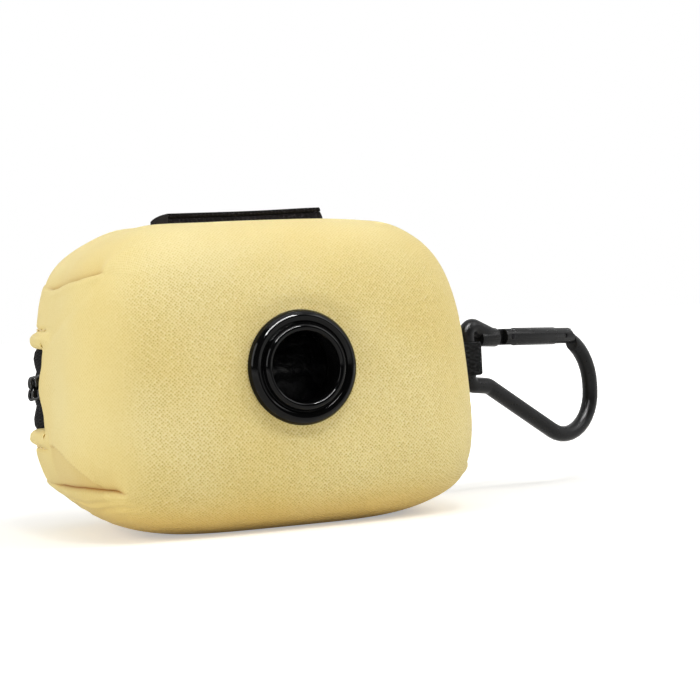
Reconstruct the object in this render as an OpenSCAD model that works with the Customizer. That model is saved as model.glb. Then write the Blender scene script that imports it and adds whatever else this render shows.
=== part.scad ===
/* [Pouch] */
// Room between each end of the bag roll and the end of the pouch
end_room = 6.3; // [5.5:0.1:12]
// Room between the bag roll and the front, and between the roll and the back
side_room = 7.1; // [6.5:0.1:12]
// Height of the full rounded body before its base is flattened
pouch_height = 57.4; // [52:0.1:75]
// Slice that the flat base takes off the rounded body
base_cut = 0.7; // [0.3:0.1:1.5]
// Squareness of the rounded body: 2 is an ellipsoid, a high value is a box
squareness = 3.8; // [3.4:0.1:5]
// Thickness of the neoprene
wall = 2.5; // [1.5:0.1:3.5]
// Inward lean of the right end at the crown
right_lean = 3.3; // [0:0.1:5]
// Inward lean of the left end at the crown
left_lean = 1.7; // [0:0.1:4]
// Inward lean of the front and of the back at the crown
face_lean = 1.15; // [0:0.05:2]

/* [Zipper] */
// Height of the zipper's centre line above the ground
zip_z = 27.6; // [25:0.1:31]
// Height of the gap between the two hems
zip_gap = 13.8; // [11:0.1:16]
// Distance of the end of the gap behind the middle of each end
zip_gap_start = 4.5; // [4:0.1:7]
// Width of tape that is sewn behind each hem
tape_seam = 3.2; // [2:0.1:5]
// Thickness of the tape
tape_t = 0.6; // [0.4:0.05:0.8]
// Width of one row of the coil
coil_w = 1.9; // [1.4:0.1:2.4]
// Thickness of the coil
coil_t = 1.25; // [1:0.05:1.6]
// Gap between the two rows of the coil
coil_gap = 0.9; // [0.8:0.05:1.2]
// Distance of the top stops from the right end of the pouch
stop_inset = 15.8; // [12:0.1:17]

/* [Slider] */
// Length of the slider's plates
slider_l = 8.4; // [7:0.1:9]
// Width of the slider's plates
slider_w = 7.2; // [6.6:0.1:8]
// Thickness of each slider plate
slider_plate = 1; // [0.8:0.05:1.2]
// Distance the slider travels along the back
slider_travel = 34; // [20:0.5:34]
// Length of the pull from its pin to its tip
pull_l = 19; // [12:0.5:24]
// Width of the pull
pull_w = 5; // [4.6:0.1:6.5]
// Thickness of the pull
pull_t = 1.2; // [0.9:0.05:1.3]
// Radius of the pull's pin
pull_pin_r = 0.55; // [0.4:0.05:0.7]

/* [Grommet] */
// Height of the grommet's centre above the ground
grommet_z = 29; // [26:0.1:31]
// Radius of the hole that the bags leave by
grommet_bore_r = 6.25; // [5:0.05:7]
// Wall of the barrel
barrel_wall = 0.7; // [0.5:0.05:1]
// Outer radius of the front flange
flange_r = 10.2; // [9:0.1:12]
// Height of the front flange above the neoprene
flange_h = 1.8; // [1.2:0.1:2.4]
// Outer radius of the washer inside the pouch
washer_r = 9.4; // [8.5:0.1:11]
// Thickness of the washer
washer_t = 0.8; // [0.5:0.05:1.2]

/* [End tab] */
// Distance of the tab's fold line behind the middle of the right end
tab_y = 2; // [1:0.1:2.2]
// Height of the middle of the tab above the ground
tab_z = 27.6; // [27:0.1:28]
// Width of the webbing
tab_w = 6.6; // [5:0.1:6.8]
// Thickness of the webbing
webbing_t = 1.05; // [0.8:0.05:1.2]
// Distance from the end of the pouch to the centre of the loop
tab_out = 7.7; // [6.5:0.1:20]

/* [Carabiner] */
// Radius of the carabiner's rod
rod_r = 1.62; // [1.4:0.02:1.8]
// Angle between the carabiner and the pouch's length
carabiner_turn = 20; // [0:1:40]
// Distance from the bar to the middle of the rod at the wide end
carabiner_reach = 37.15; // [34:0.05:45]
// Height of the lower end of the bar above the ground
bar_bottom = 22.4; // [22:0.05:22.6]
// Height of the upper corner of the rod above the ground
bar_top = 34.7; // [34.4:0.05:35.5]
// Fall of the spine for each millimetre of its run
spine_fall = 0.556; // [0.5:0.005:0.57]
// Distance from the bar to the gate's rivet
rivet_x = 12.05; // [11.8:0.05:12.6]
// Height of the gate's rivet above the ground
rivet_z = 31.35; // [31:0.05:31.6]
// Outer radius of the gate
gate_r = 1.8; // [1.7:0.02:2]
// Slope of the gate towards its nose
gate_slope = 2; // [0:0.5:4]
// Thickness of the flat tongues inside the gate
tongue_t = 1.3; // [1:0.05:1.4]
// Clearance on each side of a tongue
tongue_gap = 0.12; // [0.08:0.02:0.2]
// Radius of the rivet
rivet_r = 0.6; // [0.5:0.02:0.7]
// Radius of the latch pin
latch_r = 0.45; // [0.35:0.02:0.5]
// Radius of the bore that holds the spring
spring_bore_r = 1.1; // [0.9:0.02:1.2]
// Radius of the spring's wire
spring_wire_r = 0.15; // [0.1:0.01:0.2]

/* [Leash strap] */
// Length of the strap along the pouch
strap_l = 31; // [24:0.1:34]
// Distance of the strap's left end from the middle of the pouch
strap_left = 13.7; // [10:0.1:18]
// Distance of the strap's front edge behind the middle of the pouch
strap_front = 4; // [2:0.1:6]
// Width of the strap
strap_w = 15; // [10:0.5:16]
// Thickness of each of the two layers
strap_t = 0.7; // [0.5:0.05:0.9]

/* [Bag roll] */
// Length of the roll
roll_l = 60; // [50:0.5:62]
// Outer radius of the roll
roll_r = 16.5; // [12:0.1:16.8]
// Outer radius of the core
core_r = 7.2; // [6:0.1:9]
// Thickness of the core's wall
core_wall = 1.2; // [0.8:0.1:2]
// Clearance under the ends of the roll
roll_gap = 0.3; // [0.2:0.05:0.6]

/* [Hidden] */
$fn = 48;

half_l = roll_l / 2 + end_room + wall;
half_d = roll_r + side_room + wall;
half_h = pouch_height / 2;
stop_x = half_l - stop_inset;
tab_reach = half_l + tab_out;
centre_z = half_h - base_cut;
past = 0.2;
run_gap = 0.06;
sewn_gap = 0.2;
outer_columns = 64;
outer_rings = 28;
inner_columns = 64;
inner_rings = 24;
base_corners = 8;
base_bow = 0.004;
rod_sides = 20;
rod_step = 10;
strip_step = 4;

// The rounded body: a superellipsoid whose ends and faces lean inward towards the crown.
function round_k(a) = pow(pow(abs(cos(a)), squareness) + pow(abs(sin(a)), squareness), -1 / squareness);
function lean(x) = x > 0 ? right_lean / half_l : left_lean / half_l;
function skin(turn, s, z, inset) =
    let (x = (half_l - inset) * s * round_k(turn) * cos(turn),
         y = (half_d - inset) * s * round_k(turn) * sin(turn))
    [x * (1 - lean(x) * z / half_h), y * (1 - face_lean / half_d * z / half_h), z + centre_z];
function belt(z, inset) = pow(1 - pow(abs(z) / (half_h - inset), squareness), 1 / squareness);
function crown(x, y, inset) =
    let (u = x / (1 - lean(x)) / (half_l - inset), v = y / (1 - face_lean / half_d) / (half_d - inset))
    centre_z + (half_h - inset) * pow(1 - pow(abs(u), squareness) - pow(abs(v), squareness), 1 / squareness);
function turn_at_y(y, inset) = atan(y / (half_d - inset));
function turn_at_x(x, inset) = 90 - atan(x / (half_l - inset));
function back_y(x, z, inset) =
    (half_d - inset) * pow(1 - pow(abs(x) / (half_l - inset), squareness), 1 / squareness)
    * (1 - face_lean / half_d * z / half_h);

// Triangles between rows of points, where each row is a closed ring.
function ring_faces(rows, columns) =
    [for (i = [0 : rows - 2], j = [0 : columns - 1])
        let (a = i * columns + j, b = i * columns + (j + 1) % columns)
        for (face = [[a, a + columns, b + columns], [a, b + columns, b]]) face];

// The flat base is an octagon inside the curve, with sides bowed slightly inward, so that the pouch stands on
// its corners. This is how far a side of the octagon lies from the middle, as a share of the curve's own reach.
function corner(a) = round_k(a) * [cos(a), sin(a)];
function cross_2d(p, q) = p[0] * q[1] - p[1] * q[0];
function base_reach(turn) =
    let (side = 360 / base_corners, first = side * floor(turn / side), p = corner(first), q = corner(first + side),
         chord = cross_2d(p, q) / cross_2d([cos(turn), sin(turn)], q - p))
    chord / round_k(turn) * (1 - base_bow * sin(180 * (turn - first) / side));

module rounded_body(inset, columns, rings) {
    floor_z = base_cut - half_h + inset;
    points = [for (i = [1 : rings - 1], j = [0 : columns - 1])
        let (turn = 360 * j / columns, tilt = -90 + 180 * i / rings,
             z = (half_h - inset) * round_k(tilt) * sin(tilt), reach = z < floor_z ? base_reach(turn) : 1)
        skin(turn, reach * round_k(tilt) * cos(tilt), max(z, floor_z), inset)];
    last = len(points);
    top_row = last - columns;
    faces = [for (face = ring_faces(rings - 1, columns)) face,
        for (j = [0 : columns - 1]) [last, j, (j + 1) % columns],
        for (j = [0 : columns - 1]) [last + 1, top_row + (j + 1) % columns, top_row + j]];
    poles = [[0, 0, floor_z + centre_z], [0, 0, half_h - inset + centre_z]];
    polyhedron([for (p = points) p, for (p = poles) p], faces);
}

// A ring of section points carried along a row of stations makes a closed strip.
module strip(sections) {
    n = len(sections[0]);
    m = len(sections);
    polyhedron([for (s = sections, p = s) p],
        [for (face = ring_faces(m, n)) face,
         [for (j = [0 : n - 1]) j],
         [for (j = [n - 1 : -1 : 0]) (m - 1) * n + j]]);
}

// A strip that follows the body between two turns, from height z0 to z1 and from one inset to another.
module body_strip(turn0, turn1, z0, z1, inset0, inset1) {
    steps = ceil((turn1 - turn0) / strip_step);
    strip([for (i = [0 : steps])
        let (a = turn0 + (turn1 - turn0) * i / steps)
        [skin(a, belt(z0, inset0), z0, inset0), skin(a, belt(z0, inset1), z0, inset1),
         skin(a, belt(z1, inset1), z1, inset1), skin(a, belt(z1, inset0), z1, inset0)]]);
}

zip_mid = zip_z - centre_z;
tape_end = 0.9;
tape_out = wall + sewn_gap;
tape_reach = zip_gap / 2 + tape_seam;
tape_turn = turn_at_y(zip_gap_start - tape_end, tape_out);
coil_in = tape_out - run_gap;
coil_out = coil_in - coil_t;
coil_edge = coil_gap / 2;
coil_turn0 = turn_at_x(stop_x, coil_in);
coil_turn1 = 180 - turn_at_y(zip_gap_start + sewn_gap, coil_in);

module neoprene_panel() {
    slit = 2 * webbing_t + 4 * run_gap;
    color([0.93, 0.85, 0.6])
    difference() {
        rounded_body(0, outer_columns, outer_rings);
        rounded_body(wall, inner_columns, inner_rings);
        translate([-half_l - past, zip_gap_start, zip_z - zip_gap / 2])
            cube([2 * (half_l + past), 2 * half_d, zip_gap]);
        translate([half_l / 2, tab_y - slit / 2, tab_z - tab_w / 2 - run_gap])
            cube([half_l, slit, tab_w + 2 * run_gap]);
        at_grommet() translate([0, 0, -2 * wall]) cylinder(r = barrel_r + run_gap, h = 4 * wall);
    }
}

// The two tapes lie behind the hems, with the two rows of the coil on their outer face.
module zipper_tape_upper() {
    color([0.06, 0.06, 0.065])
    body_strip(tape_turn, 180 - tape_turn, zip_mid + coil_edge, zip_mid + tape_reach, tape_out, tape_out + tape_t);
}

module zipper_tape_lower() {
    color([0.06, 0.06, 0.065])
    body_strip(tape_turn, 180 - tape_turn, zip_mid - tape_reach, zip_mid - coil_edge, tape_out, tape_out + tape_t);
}

module zipper_coil_upper() {
    color([0.1, 0.1, 0.105])
    body_strip(coil_turn0, coil_turn1, zip_mid + coil_edge, zip_mid + coil_edge + coil_w, coil_out, coil_in);
}

module zipper_coil_lower() {
    color([0.1, 0.1, 0.105])
    body_strip(coil_turn0, coil_turn1, zip_mid - coil_edge - coil_w, zip_mid - coil_edge, coil_out, coil_in);
}

module zipper_top_stops() {
    stop_l = 1.6;
    stop_rise = 0.1;
    stop_turn = turn_at_x(stop_x + run_gap, coil_in);
    color([0.12, 0.12, 0.125])
    for (low = [coil_edge, -coil_edge - coil_w])
        body_strip(turn_at_x(stop_x + run_gap + stop_l, coil_in), stop_turn, zip_mid + low,
            zip_mid + low + coil_w, coil_out - stop_rise, coil_in);
}

// The slider: two plates joined by a thin post that runs between the rows of the coil.
stop_gap = 0.8;
pin_rise = 1.05;
bail_wall = 0.6;
bail_w = 1.6;
slider_rest_x = stop_x - slider_l / 2 - stop_gap;
slider_far_x = slider_rest_x - slider_travel;
slider_end_x = max(slider_rest_x, -slider_far_x) + slider_l / 2;
plate_out_y = half_d - coil_out + sewn_gap;
plate_in_y = back_y(slider_end_x, zip_mid + slider_w / 2, tape_out + tape_t) - sewn_gap;
pin_y = plate_out_y + slider_plate + pin_rise;
pin_hole_r = pull_pin_r + run_gap;
bail_r = pin_hole_r + bail_wall;

module zipper_slider() {
    flange = 0.7;
    post_l = 1.6;
    post_half = coil_edge - 0.15;
    color([0.09, 0.09, 0.095])
    translate([slider_rest_x, 0, zip_z]) {
        for (y = [plate_out_y, plate_in_y - slider_plate])
            translate([-slider_l / 2, y, -slider_w / 2]) cube([slider_l, slider_plate, slider_w]);
        for (side = [-1, 1])
            translate([-slider_l / 2, plate_out_y - flange, side * (slider_w - flange) / 2 - flange / 2])
                cube([slider_l, slider_plate + flange, flange]);
        translate([slider_l / 2 - post_l, plate_in_y - slider_plate, -post_half])
            cube([post_l, plate_out_y - plate_in_y + 2 * slider_plate, 2 * post_half]);
        translate([0, 0, -bail_w / 2])
        difference() {
            union() {
                translate([0, pin_y, 0]) cylinder(r = bail_r, h = bail_w);
                translate([-bail_r, plate_out_y, 0]) cube([2 * bail_r, pin_y - plate_out_y, bail_w]);
            }
            translate([0, pin_y, -past]) cylinder(r = pin_hole_r, h = bail_w + 2 * past);
        }
    }
}

// The pull lies flat along the chain, with its pin through the slider's bail.
module zipper_pull() {
    arm_gap = 0.15;
    arm_w = (pull_w - bail_w) / 2 - arm_gap;
    window = 2.6;
    color([0.1, 0.1, 0.105])
    translate([slider_rest_x, pin_y, zip_z]) {
        translate([0, 0, -pull_w / 2]) cylinder(r = pull_pin_r, h = pull_w);
        for (side = [-1, 1])
            translate([0, 0, side * (pull_w - arm_w) / 2 - arm_w / 2]) {
                cylinder(r = pull_t / 2, h = arm_w);
                translate([-window - past, -pull_t / 2, 0]) cube([window + past, pull_t, arm_w]);
            }
        translate([-pull_l + pull_w / 2, -pull_t / 2, -pull_w / 2])
            cube([pull_l - pull_w / 2 - window, pull_t, pull_w]);
        translate([-pull_l + pull_w / 2, -pull_t / 2, 0]) rotate([-90, 0, 0])
            cylinder(r = pull_w / 2, h = pull_t);
    }
}

// The grommet's own frame: its Z runs out of the pouch, square to the leaning front.
barrel_r = grommet_bore_r + barrel_wall;
grommet_tilt = atan(face_lean / half_h);
grommet_y = half_d - face_lean * (grommet_z - centre_z) / half_h;
washer_rise = (abs(grommet_z - centre_z) + washer_r) / (half_h - wall);
washer_sag = (half_d - wall) * (1 - pow(1 - pow(washer_rise, squareness), 1 / squareness));
washer_top = -wall - washer_sag - run_gap;
lip_r = 0.65;

module at_grommet() {
    translate([0, -grommet_y, grommet_z]) rotate([90 - grommet_tilt, 0, 0]) children();
}

module grommet_flange() {
    edge_h = 0.45;
    land_drop = 0.54;
    seat = 0.1;
    dome_r = flange_h - edge_h;
    dome_at = flange_r - dome_r;
    barrel_end = washer_top - washer_t - lip_r;
    color([0.05, 0.05, 0.055])
    at_grommet()
    rotate_extrude($fn = 96) {
        translate([grommet_bore_r, barrel_end]) square([barrel_wall, flange_h + seat - barrel_end]);
        translate([grommet_bore_r, seat]) square([dome_at - grommet_bore_r, flange_h - land_drop]);
        intersection() {
            translate([dome_at, flange_h - dome_r + seat]) circle(r = dome_r);
            translate([grommet_bore_r, seat]) square([flange_r, flange_h]);
        }
        translate([dome_at, seat]) square([dome_r, edge_h]);
        translate([grommet_bore_r + lip_r, flange_h + seat]) circle(r = lip_r);
        translate([barrel_r, barrel_end]) circle(r = lip_r);
    }
}

module grommet_washer() {
    color([0.07, 0.07, 0.075])
    at_grommet()
    translate([0, 0, washer_top - washer_t])
    difference() {
        cylinder(r = washer_r, h = washer_t);
        translate([0, 0, -past]) cylinder(r = barrel_r + run_gap, h = washer_t + 2 * past);
    }
}

// The webbing goes round the carabiner's bar and back into the end seam.
loop_slack = 0.25;
leg_foot = 0.4;
leg_join = 1.5;
tab_tail = 2.5;
loop_in_r = rod_r + loop_slack;
loop_out_r = loop_in_r + webbing_t;
leg_run = tab_out - leg_foot;
seam_half = webbing_t + run_gap / 2;
tab_depth = wall + tab_tail;

module end_tab() {
    leg_turn = asin((loop_out_r - seam_half) / leg_run);
    color([0.05, 0.05, 0.055])
    translate([tab_reach, tab_y, tab_z - tab_w / 2])
    difference() {
        linear_extrude(height = tab_w) {
            circle(r = loop_out_r);
            polygon([[-leg_run, -seam_half], [-loop_out_r * sin(leg_turn), -loop_out_r * cos(leg_turn)],
                [-loop_out_r * sin(leg_turn), loop_out_r * cos(leg_turn)], [-leg_run, seam_half]]);
            translate([-leg_run - tab_depth, -seam_half]) square([tab_depth + past, 2 * seam_half]);
        }
        translate([0, 0, -past]) {
            cylinder(r = loop_in_r, h = tab_w + 2 * past);
            linear_extrude(height = tab_w + 2 * past)
                polygon([[-leg_run + leg_join, 0], [-loop_in_r * sin(leg_turn), -loop_in_r * cos(leg_turn)],
                    [-loop_in_r * sin(leg_turn), loop_in_r * cos(leg_turn)]]);
        }
    }
}

// The carabiner's own frame: X along its length from the bar, Y up, Z across its plane.
module at_carabiner() {
    translate([tab_reach, tab_y, 0]) rotate([0, 0, carabiner_turn]) rotate([90, 0, 0]) children();
}

// Corners of the rod's middle line, each with the radius that rounds it.
nose_root = [29.2, 30.6];
wide_top = 27.84;
wide_top_bend = 11;
wide_low_bend = 8.6;
heel_bend = 3;
bar_low_bend = 1.7;
bar_top_bend = 1.8;
spine_start = [5.55, 21.85];
wide_low = spine_start[1] - spine_fall * (carabiner_reach - spine_start[0]);
shoulder = [8.1, 31.45];
rod_route = [[nose_root[0], nose_root[1], 0], [carabiner_reach, wide_top, wide_top_bend],
    [carabiner_reach, wide_low, wide_low_bend], [spine_start[0], spine_start[1], heel_bend],
    [0, bar_bottom, bar_low_bend], [0, bar_top, bar_top_bend], [shoulder[0], shoulder[1], 0]];

function unit(v) = v / norm(v);
function flat(p) = [p[0], p[1]];
function spun(v, a) = [v[0] * cos(a) - v[1] * sin(a), v[0] * sin(a) + v[1] * cos(a)];
function heading(i) = unit(flat(rod_route[i + 1]) - flat(rod_route[i]));
function turn_of(i) = let (a = heading(i - 1), b = heading(i)) atan2(a[0] * b[1] - a[1] * b[0], a * b);

// Stations along a rounded corner: the point of the middle line and its heading there.
function corner_stations(i) =
    let (turn = turn_of(i), radius = rod_route[i][2], along = heading(i - 1),
         start = flat(rod_route[i]) - radius * tan(abs(turn) / 2) * along,
         centre = start + radius * sign(turn) * spun(along, 90),
         steps = ceil(abs(turn) / rod_step))
    [for (k = [0 : steps]) [centre + spun(start - centre, turn * k / steps), spun(along, turn * k / steps)]];

module carabiner_rod() {
    last = len(rod_route) - 1;
    stations = [[flat(rod_route[0]), heading(0)],
        for (i = [1 : last - 1], station = corner_stations(i)) station,
        [flat(rod_route[last]), heading(last - 1)]];
    strip([for (station = stations)
        [for (j = [0 : rod_sides - 1])
            let (a = 360 * j / rod_sides, side = station[0] + rod_r * cos(a) * spun(station[1], 90))
            [side[0], side[1], rod_r * sin(a)]]]);
}

// The nose is cut on a slant from its top point to its low point, and the gate ends along it.
nose_cut_top = [30.2, 33];
nose_cut_low = [31.9, 28.9];
nose_clear = 6;
gate_end_gap = 0.3;
gate_back = 1.75;
latch_at = 16.1;
latch_slot = 2.2;
latch_slot_start = latch_at - latch_slot;
tongue_h = 2.5;
tongue_end_r = 1.4;
bore_start = 1.9;
bore_end = latch_slot_start - 1 - past;

module at_rivet() {
    translate([rivet_x, rivet_z, 0]) rotate([0, 0, -gate_slope]) children();
}

module carabiner_frame() {
    notch_r = latch_r + 0.15;
    notch_wall = 0.6;
    tongue_drop = 0.2;
    cone_start = 3.4;
    shoulder_lip = 0.12;
    root = 0.4;
    color([0.06, 0.06, 0.065])
    at_carabiner()
    difference() {
        union() {
            difference() {
                carabiner_rod();
                linear_extrude(height = 4 * rod_r, center = true)
                    polygon([[nose_root[0] - nose_clear, nose_cut_top[1]], nose_cut_top, nose_cut_low,
                        [nose_cut_low[0], nose_cut_low[1] - nose_clear],
                        [nose_root[0] - nose_clear, nose_cut_low[1] - nose_clear]]);
            }
            translate([cone_start, shoulder[1], 0]) rotate([0, 90, 0])
                cylinder(r1 = rod_r, r2 = gate_r + shoulder_lip, h = shoulder[0] - cone_start);
            translate([0, 0, -tongue_t / 2]) {
                at_rivet() {
                    cylinder(r = tongue_end_r, h = tongue_t);
                    translate([-rivet_x + shoulder[0] - root, -tongue_end_r, 0])
                        cube([rivet_x - shoulder[0] + root, 2 * tongue_end_r, tongue_t]);
                    translate([latch_at - notch_r - notch_wall, -tongue_h / 2 + tongue_drop, 0])
                        cube([nose_cut_low[0] + root - rivet_x - latch_at, tongue_h, tongue_t]);
                }
            }
        }
        at_rivet() {
            translate([0, 0, -tongue_t]) cylinder(r = rivet_r + run_gap, h = 2 * tongue_t);
            translate([latch_at, 0, -tongue_t]) {
                cylinder(r = notch_r, h = 2 * tongue_t);
                translate([-notch_r, -tongue_h, 0]) cube([2 * notch_r, tongue_h, 2 * tongue_t]);
            }
        }
    }
}

// The gate is a rod with a bore for its spring and a slot at each end for the frame's tongues.
module carabiner_gate() {
    slot = tongue_t + 2 * tongue_gap;
    far = nose_cut_low[0] - rivet_x + 1;
    press_gap = 0.01;
    nose_slope = atan2(nose_cut_low[0] - nose_cut_top[0], nose_cut_top[1] - nose_cut_low[1]);
    color([0.09, 0.09, 0.095])
    at_carabiner()
    difference() {
        at_rivet()
        difference() {
            translate([-gate_back, 0, 0]) rotate([0, 90, 0]) cylinder(r = gate_r, h = far + gate_back);
            translate([bore_start - past, 0, 0]) rotate([0, 90, 0])
                cylinder(r = spring_bore_r, h = bore_end - bore_start + past);
            translate([-gate_back - past, -2 * gate_r, -slot / 2])
                cube([gate_back + bore_start + past, 4 * gate_r, slot]);
            translate([latch_slot_start, -2 * gate_r, -slot / 2]) cube([far, 4 * gate_r, slot]);
            for (x = [0, latch_at])
                translate([x, 0, -2 * gate_r])
                    cylinder(r = (x == 0 ? rivet_r : latch_r) + press_gap, h = 4 * gate_r);
        }
        translate([nose_cut_low[0] - gate_end_gap, nose_cut_low[1], -2 * gate_r])
            rotate([0, 0, nose_slope]) translate([0, -nose_clear, 0])
                cube([nose_clear, 2 * nose_clear, 4 * gate_r]);
    }
}

module gate_rivet() {
    proud = 0.05;
    color([0.03, 0.03, 0.035])
    at_carabiner() at_rivet() cylinder(r = rivet_r, h = 2 * (gate_r + proud), center = true);
}

module gate_latch_pin() {
    sunk = 0.15;
    color([0.1, 0.1, 0.105])
    at_carabiner() at_rivet()
        translate([latch_at, 0, 0]) cylinder(r = latch_r, h = 2 * (gate_r - sunk), center = true);
}

plunger_l = 2.6;
plunger_at = bore_start + run_gap;

module gate_plunger() {
    color([0.55, 0.56, 0.58])
    at_carabiner() at_rivet()
        translate([plunger_at, 0, 0]) rotate([0, 90, 0]) cylinder(r = spring_bore_r - run_gap, h = plunger_l);
}

module gate_spring() {
    coil_r = spring_bore_r - spring_wire_r - run_gap;
    start = plunger_at + plunger_l + spring_wire_r + run_gap;
    end = bore_end - spring_wire_r - run_gap;
    turns = 9;
    sides = 6;
    steps = turns * 12;
    color([0.6, 0.61, 0.63])
    at_carabiner() at_rivet()
    strip([for (i = [0 : steps])
        let (a = 360 * turns * i / steps, x = start + (end - start) * i / steps)
        [for (j = [0 : sides - 1])
            let (b = 360 * j / sides, r = coil_r + spring_wire_r * cos(b))
            [x - spring_wire_r * sin(b), r * cos(a), r * sin(a)]]]);
}

// Each layer of the strap follows the crown of the pouch.
module crown_layer(x0, x1, inset) {
    steps = 8;
    strip([for (i = [0 : steps])
        let (x = x0 + (x1 - x0) * i / steps)
        [for (j = [0 : steps]) let (y = strap_front + strap_w * j / steps) [x, y, crown(x, y, inset)],
         for (j = [steps : -1 : 0]) let (y = strap_front + strap_w * j / steps)
            [x, y, crown(x, y, inset) + strap_t]]]);
}

module strap_base() {
    color([0.05, 0.05, 0.055])
    crown_layer(-strap_left, -strap_left + strap_l, -sewn_gap);
}

module strap_flap() {
    layer_gap = 0.12;
    hem = 0.6;
    color([0.07, 0.07, 0.075])
    crown_layer(-strap_left, -strap_left + strap_l - hem, -sewn_gap - strap_t - layer_gap);
}

// The roll lies in the rounded bottom of the pouch, which carries the lowest edge of each of its ends.
roll_share = roll_l / 2 / (half_l - wall);
roll_seat = (half_h - wall) * pow(1 - pow(roll_share, squareness), 1 / squareness);
roll_z = max(wall, centre_z - roll_seat) + roll_gap + roll_r;

module roll_tube(outer, inner) {
    translate([-roll_l / 2, 0, roll_z]) rotate([0, 90, 0])
    difference() {
        cylinder(r = outer, h = roll_l);
        translate([0, 0, -past]) cylinder(r = inner, h = roll_l + 2 * past);
    }
}

module roll_core() {
    color([0.72, 0.6, 0.44])
    roll_tube(core_r, core_r - core_wall);
}

module bag_roll() {
    color([0.08, 0.08, 0.085])
    roll_tube(roll_r, core_r + run_gap);
}

neoprene_panel();
zipper_tape_upper();
zipper_tape_lower();
zipper_coil_upper();
zipper_coil_lower();
zipper_top_stops();
zipper_slider();
zipper_pull();
grommet_flange();
grommet_washer();
end_tab();
carabiner_frame();
carabiner_gate();
gate_rivet();
gate_latch_pin();
gate_spring();
gate_plunger();
strap_base();
strap_flap();
roll_core();
bag_roll();
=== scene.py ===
import math
import bmesh
import bpy
import numpy as np
from mathutils import Matrix, Vector


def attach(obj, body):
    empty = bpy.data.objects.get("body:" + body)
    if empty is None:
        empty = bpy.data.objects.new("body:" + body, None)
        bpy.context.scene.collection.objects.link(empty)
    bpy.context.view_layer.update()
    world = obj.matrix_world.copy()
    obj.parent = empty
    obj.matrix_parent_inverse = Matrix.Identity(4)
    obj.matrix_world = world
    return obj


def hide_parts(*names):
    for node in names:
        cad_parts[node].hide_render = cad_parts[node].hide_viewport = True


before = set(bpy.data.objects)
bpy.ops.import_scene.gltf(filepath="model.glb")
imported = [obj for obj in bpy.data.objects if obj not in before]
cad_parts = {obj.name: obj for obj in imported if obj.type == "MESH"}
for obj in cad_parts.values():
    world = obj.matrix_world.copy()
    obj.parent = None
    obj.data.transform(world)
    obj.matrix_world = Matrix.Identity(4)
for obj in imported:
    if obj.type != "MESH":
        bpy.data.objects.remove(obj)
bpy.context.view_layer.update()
mm = 0.001
scene = bpy.context.scene
tau = 2 * math.pi


# Mesh helpers: every shape is worked out in millimetres and stored in metres.

# The map is in millimetres too, one pair for each point, or one for each corner of each face.
def putMesh(name, points, faces, uv=None, cornerUv=None, shade=None):
    mesh = bpy.data.meshes.new(name)
    points = np.asarray(points, float) * mm
    mesh.from_pydata(points.tolist(), [], [list(map(int, face)) for face in faces])
    mesh.update()
    if uv is not None:
        corners = np.zeros(len(mesh.loops), np.int32)
        mesh.loops.foreach_get("vertex_index", corners)
        cornerUv = np.asarray(uv, float)[corners]
    if cornerUv is not None:
        layer = mesh.uv_layers.new(name="surfaceMap")
        layer.data.foreach_set("uv", np.asarray(cornerUv, np.float32).ravel())
    if shade is not None:
        layer = mesh.attributes.new("seamShade", "FLOAT", "POINT")
        layer.data.foreach_set("value", np.asarray(shade, np.float32))
    mesh.polygons.foreach_set("use_smooth", [True] * len(mesh.polygons))
    piece = bpy.data.objects.new(name, mesh)
    scene.collection.objects.link(piece)
    return piece


# Quads between the neighbouring rows and columns of a grid, closed round the columns or rows on request.
def gridFaces(rows, columns, closeColumns=False, closeRows=False):
    i, j = np.meshgrid(np.arange(rows if closeRows else rows - 1),
                       np.arange(columns if closeColumns else columns - 1), indexing="ij")
    i, j = i.ravel(), j.ravel()
    down, along = (i + 1) % rows, (j + 1) % columns
    return np.stack([i * columns + j, i * columns + along, down * columns + along, down * columns + j], 1)


# A grid closed round its columns, with a cap on its first row and on its last.
def tubeFaces(rows, columns):
    caps = [list(range(columns)), list(range((rows - 1) * columns, rows * columns))]
    return gridFaces(rows, columns, closeColumns=True).tolist() + caps


# Merges points closer than nearest, joins faces that meet flatter than an angle, and turns all faces outwards.
def sealNormals(piece, nearest=1e-7, flatter=0.0):
    shell = bmesh.new()
    shell.from_mesh(piece.data)
    bmesh.ops.remove_doubles(shell, verts=shell.verts, dist=nearest)
    if flatter:
        limit = math.radians(flatter)
        bmesh.ops.dissolve_limit(shell, angle_limit=limit, verts=shell.verts, edges=shell.edges)
    bmesh.ops.recalc_face_normals(shell, faces=shell.faces)
    shell.to_mesh(piece.data)
    shell.free()
    return piece


def applyModifiers(piece):
    evaluated = piece.evaluated_get(bpy.context.evaluated_depsgraph_get())
    finished = bpy.data.meshes.new_from_object(evaluated)
    piece.modifiers.clear()
    piece.data = finished


def smoothByAngle(piece, degrees):
    piece.data.shade_smooth()
    piece.data.set_sharp_from_angle(angle=math.radians(degrees))


def dress(piece, *materials):
    piece.data.materials.clear()
    for material in materials:
        piece.data.materials.append(material)


# A finished piece rides on a body, takes the place of a node of the frame, whose own part is hidden, and gets a
# material.
def settle(piece, body, node, material):
    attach(piece, body)
    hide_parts(node)
    dress(piece, material)


# Length along a broken line, from its first point to each point.
def runLength(path):
    return np.r_[0, np.cumsum(np.linalg.norm(np.diff(path, axis=0), axis=1))]


# A ring of section points (side, rise) carried along a path: point = path + side * across + rise * up.
def carryProfile(path, across, up, section):
    points = (path[:, None, :] + section[None, :, :1] * across[:, None, :]
              + section[None, :, 1:] * up[:, None, :])
    uv = np.stack(np.meshgrid(runLength(path), runLength(section), indexing="ij"), -1)
    return points.reshape(-1, 3), tubeFaces(*points.shape[:2]), uv.reshape(-1, 2)


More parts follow.
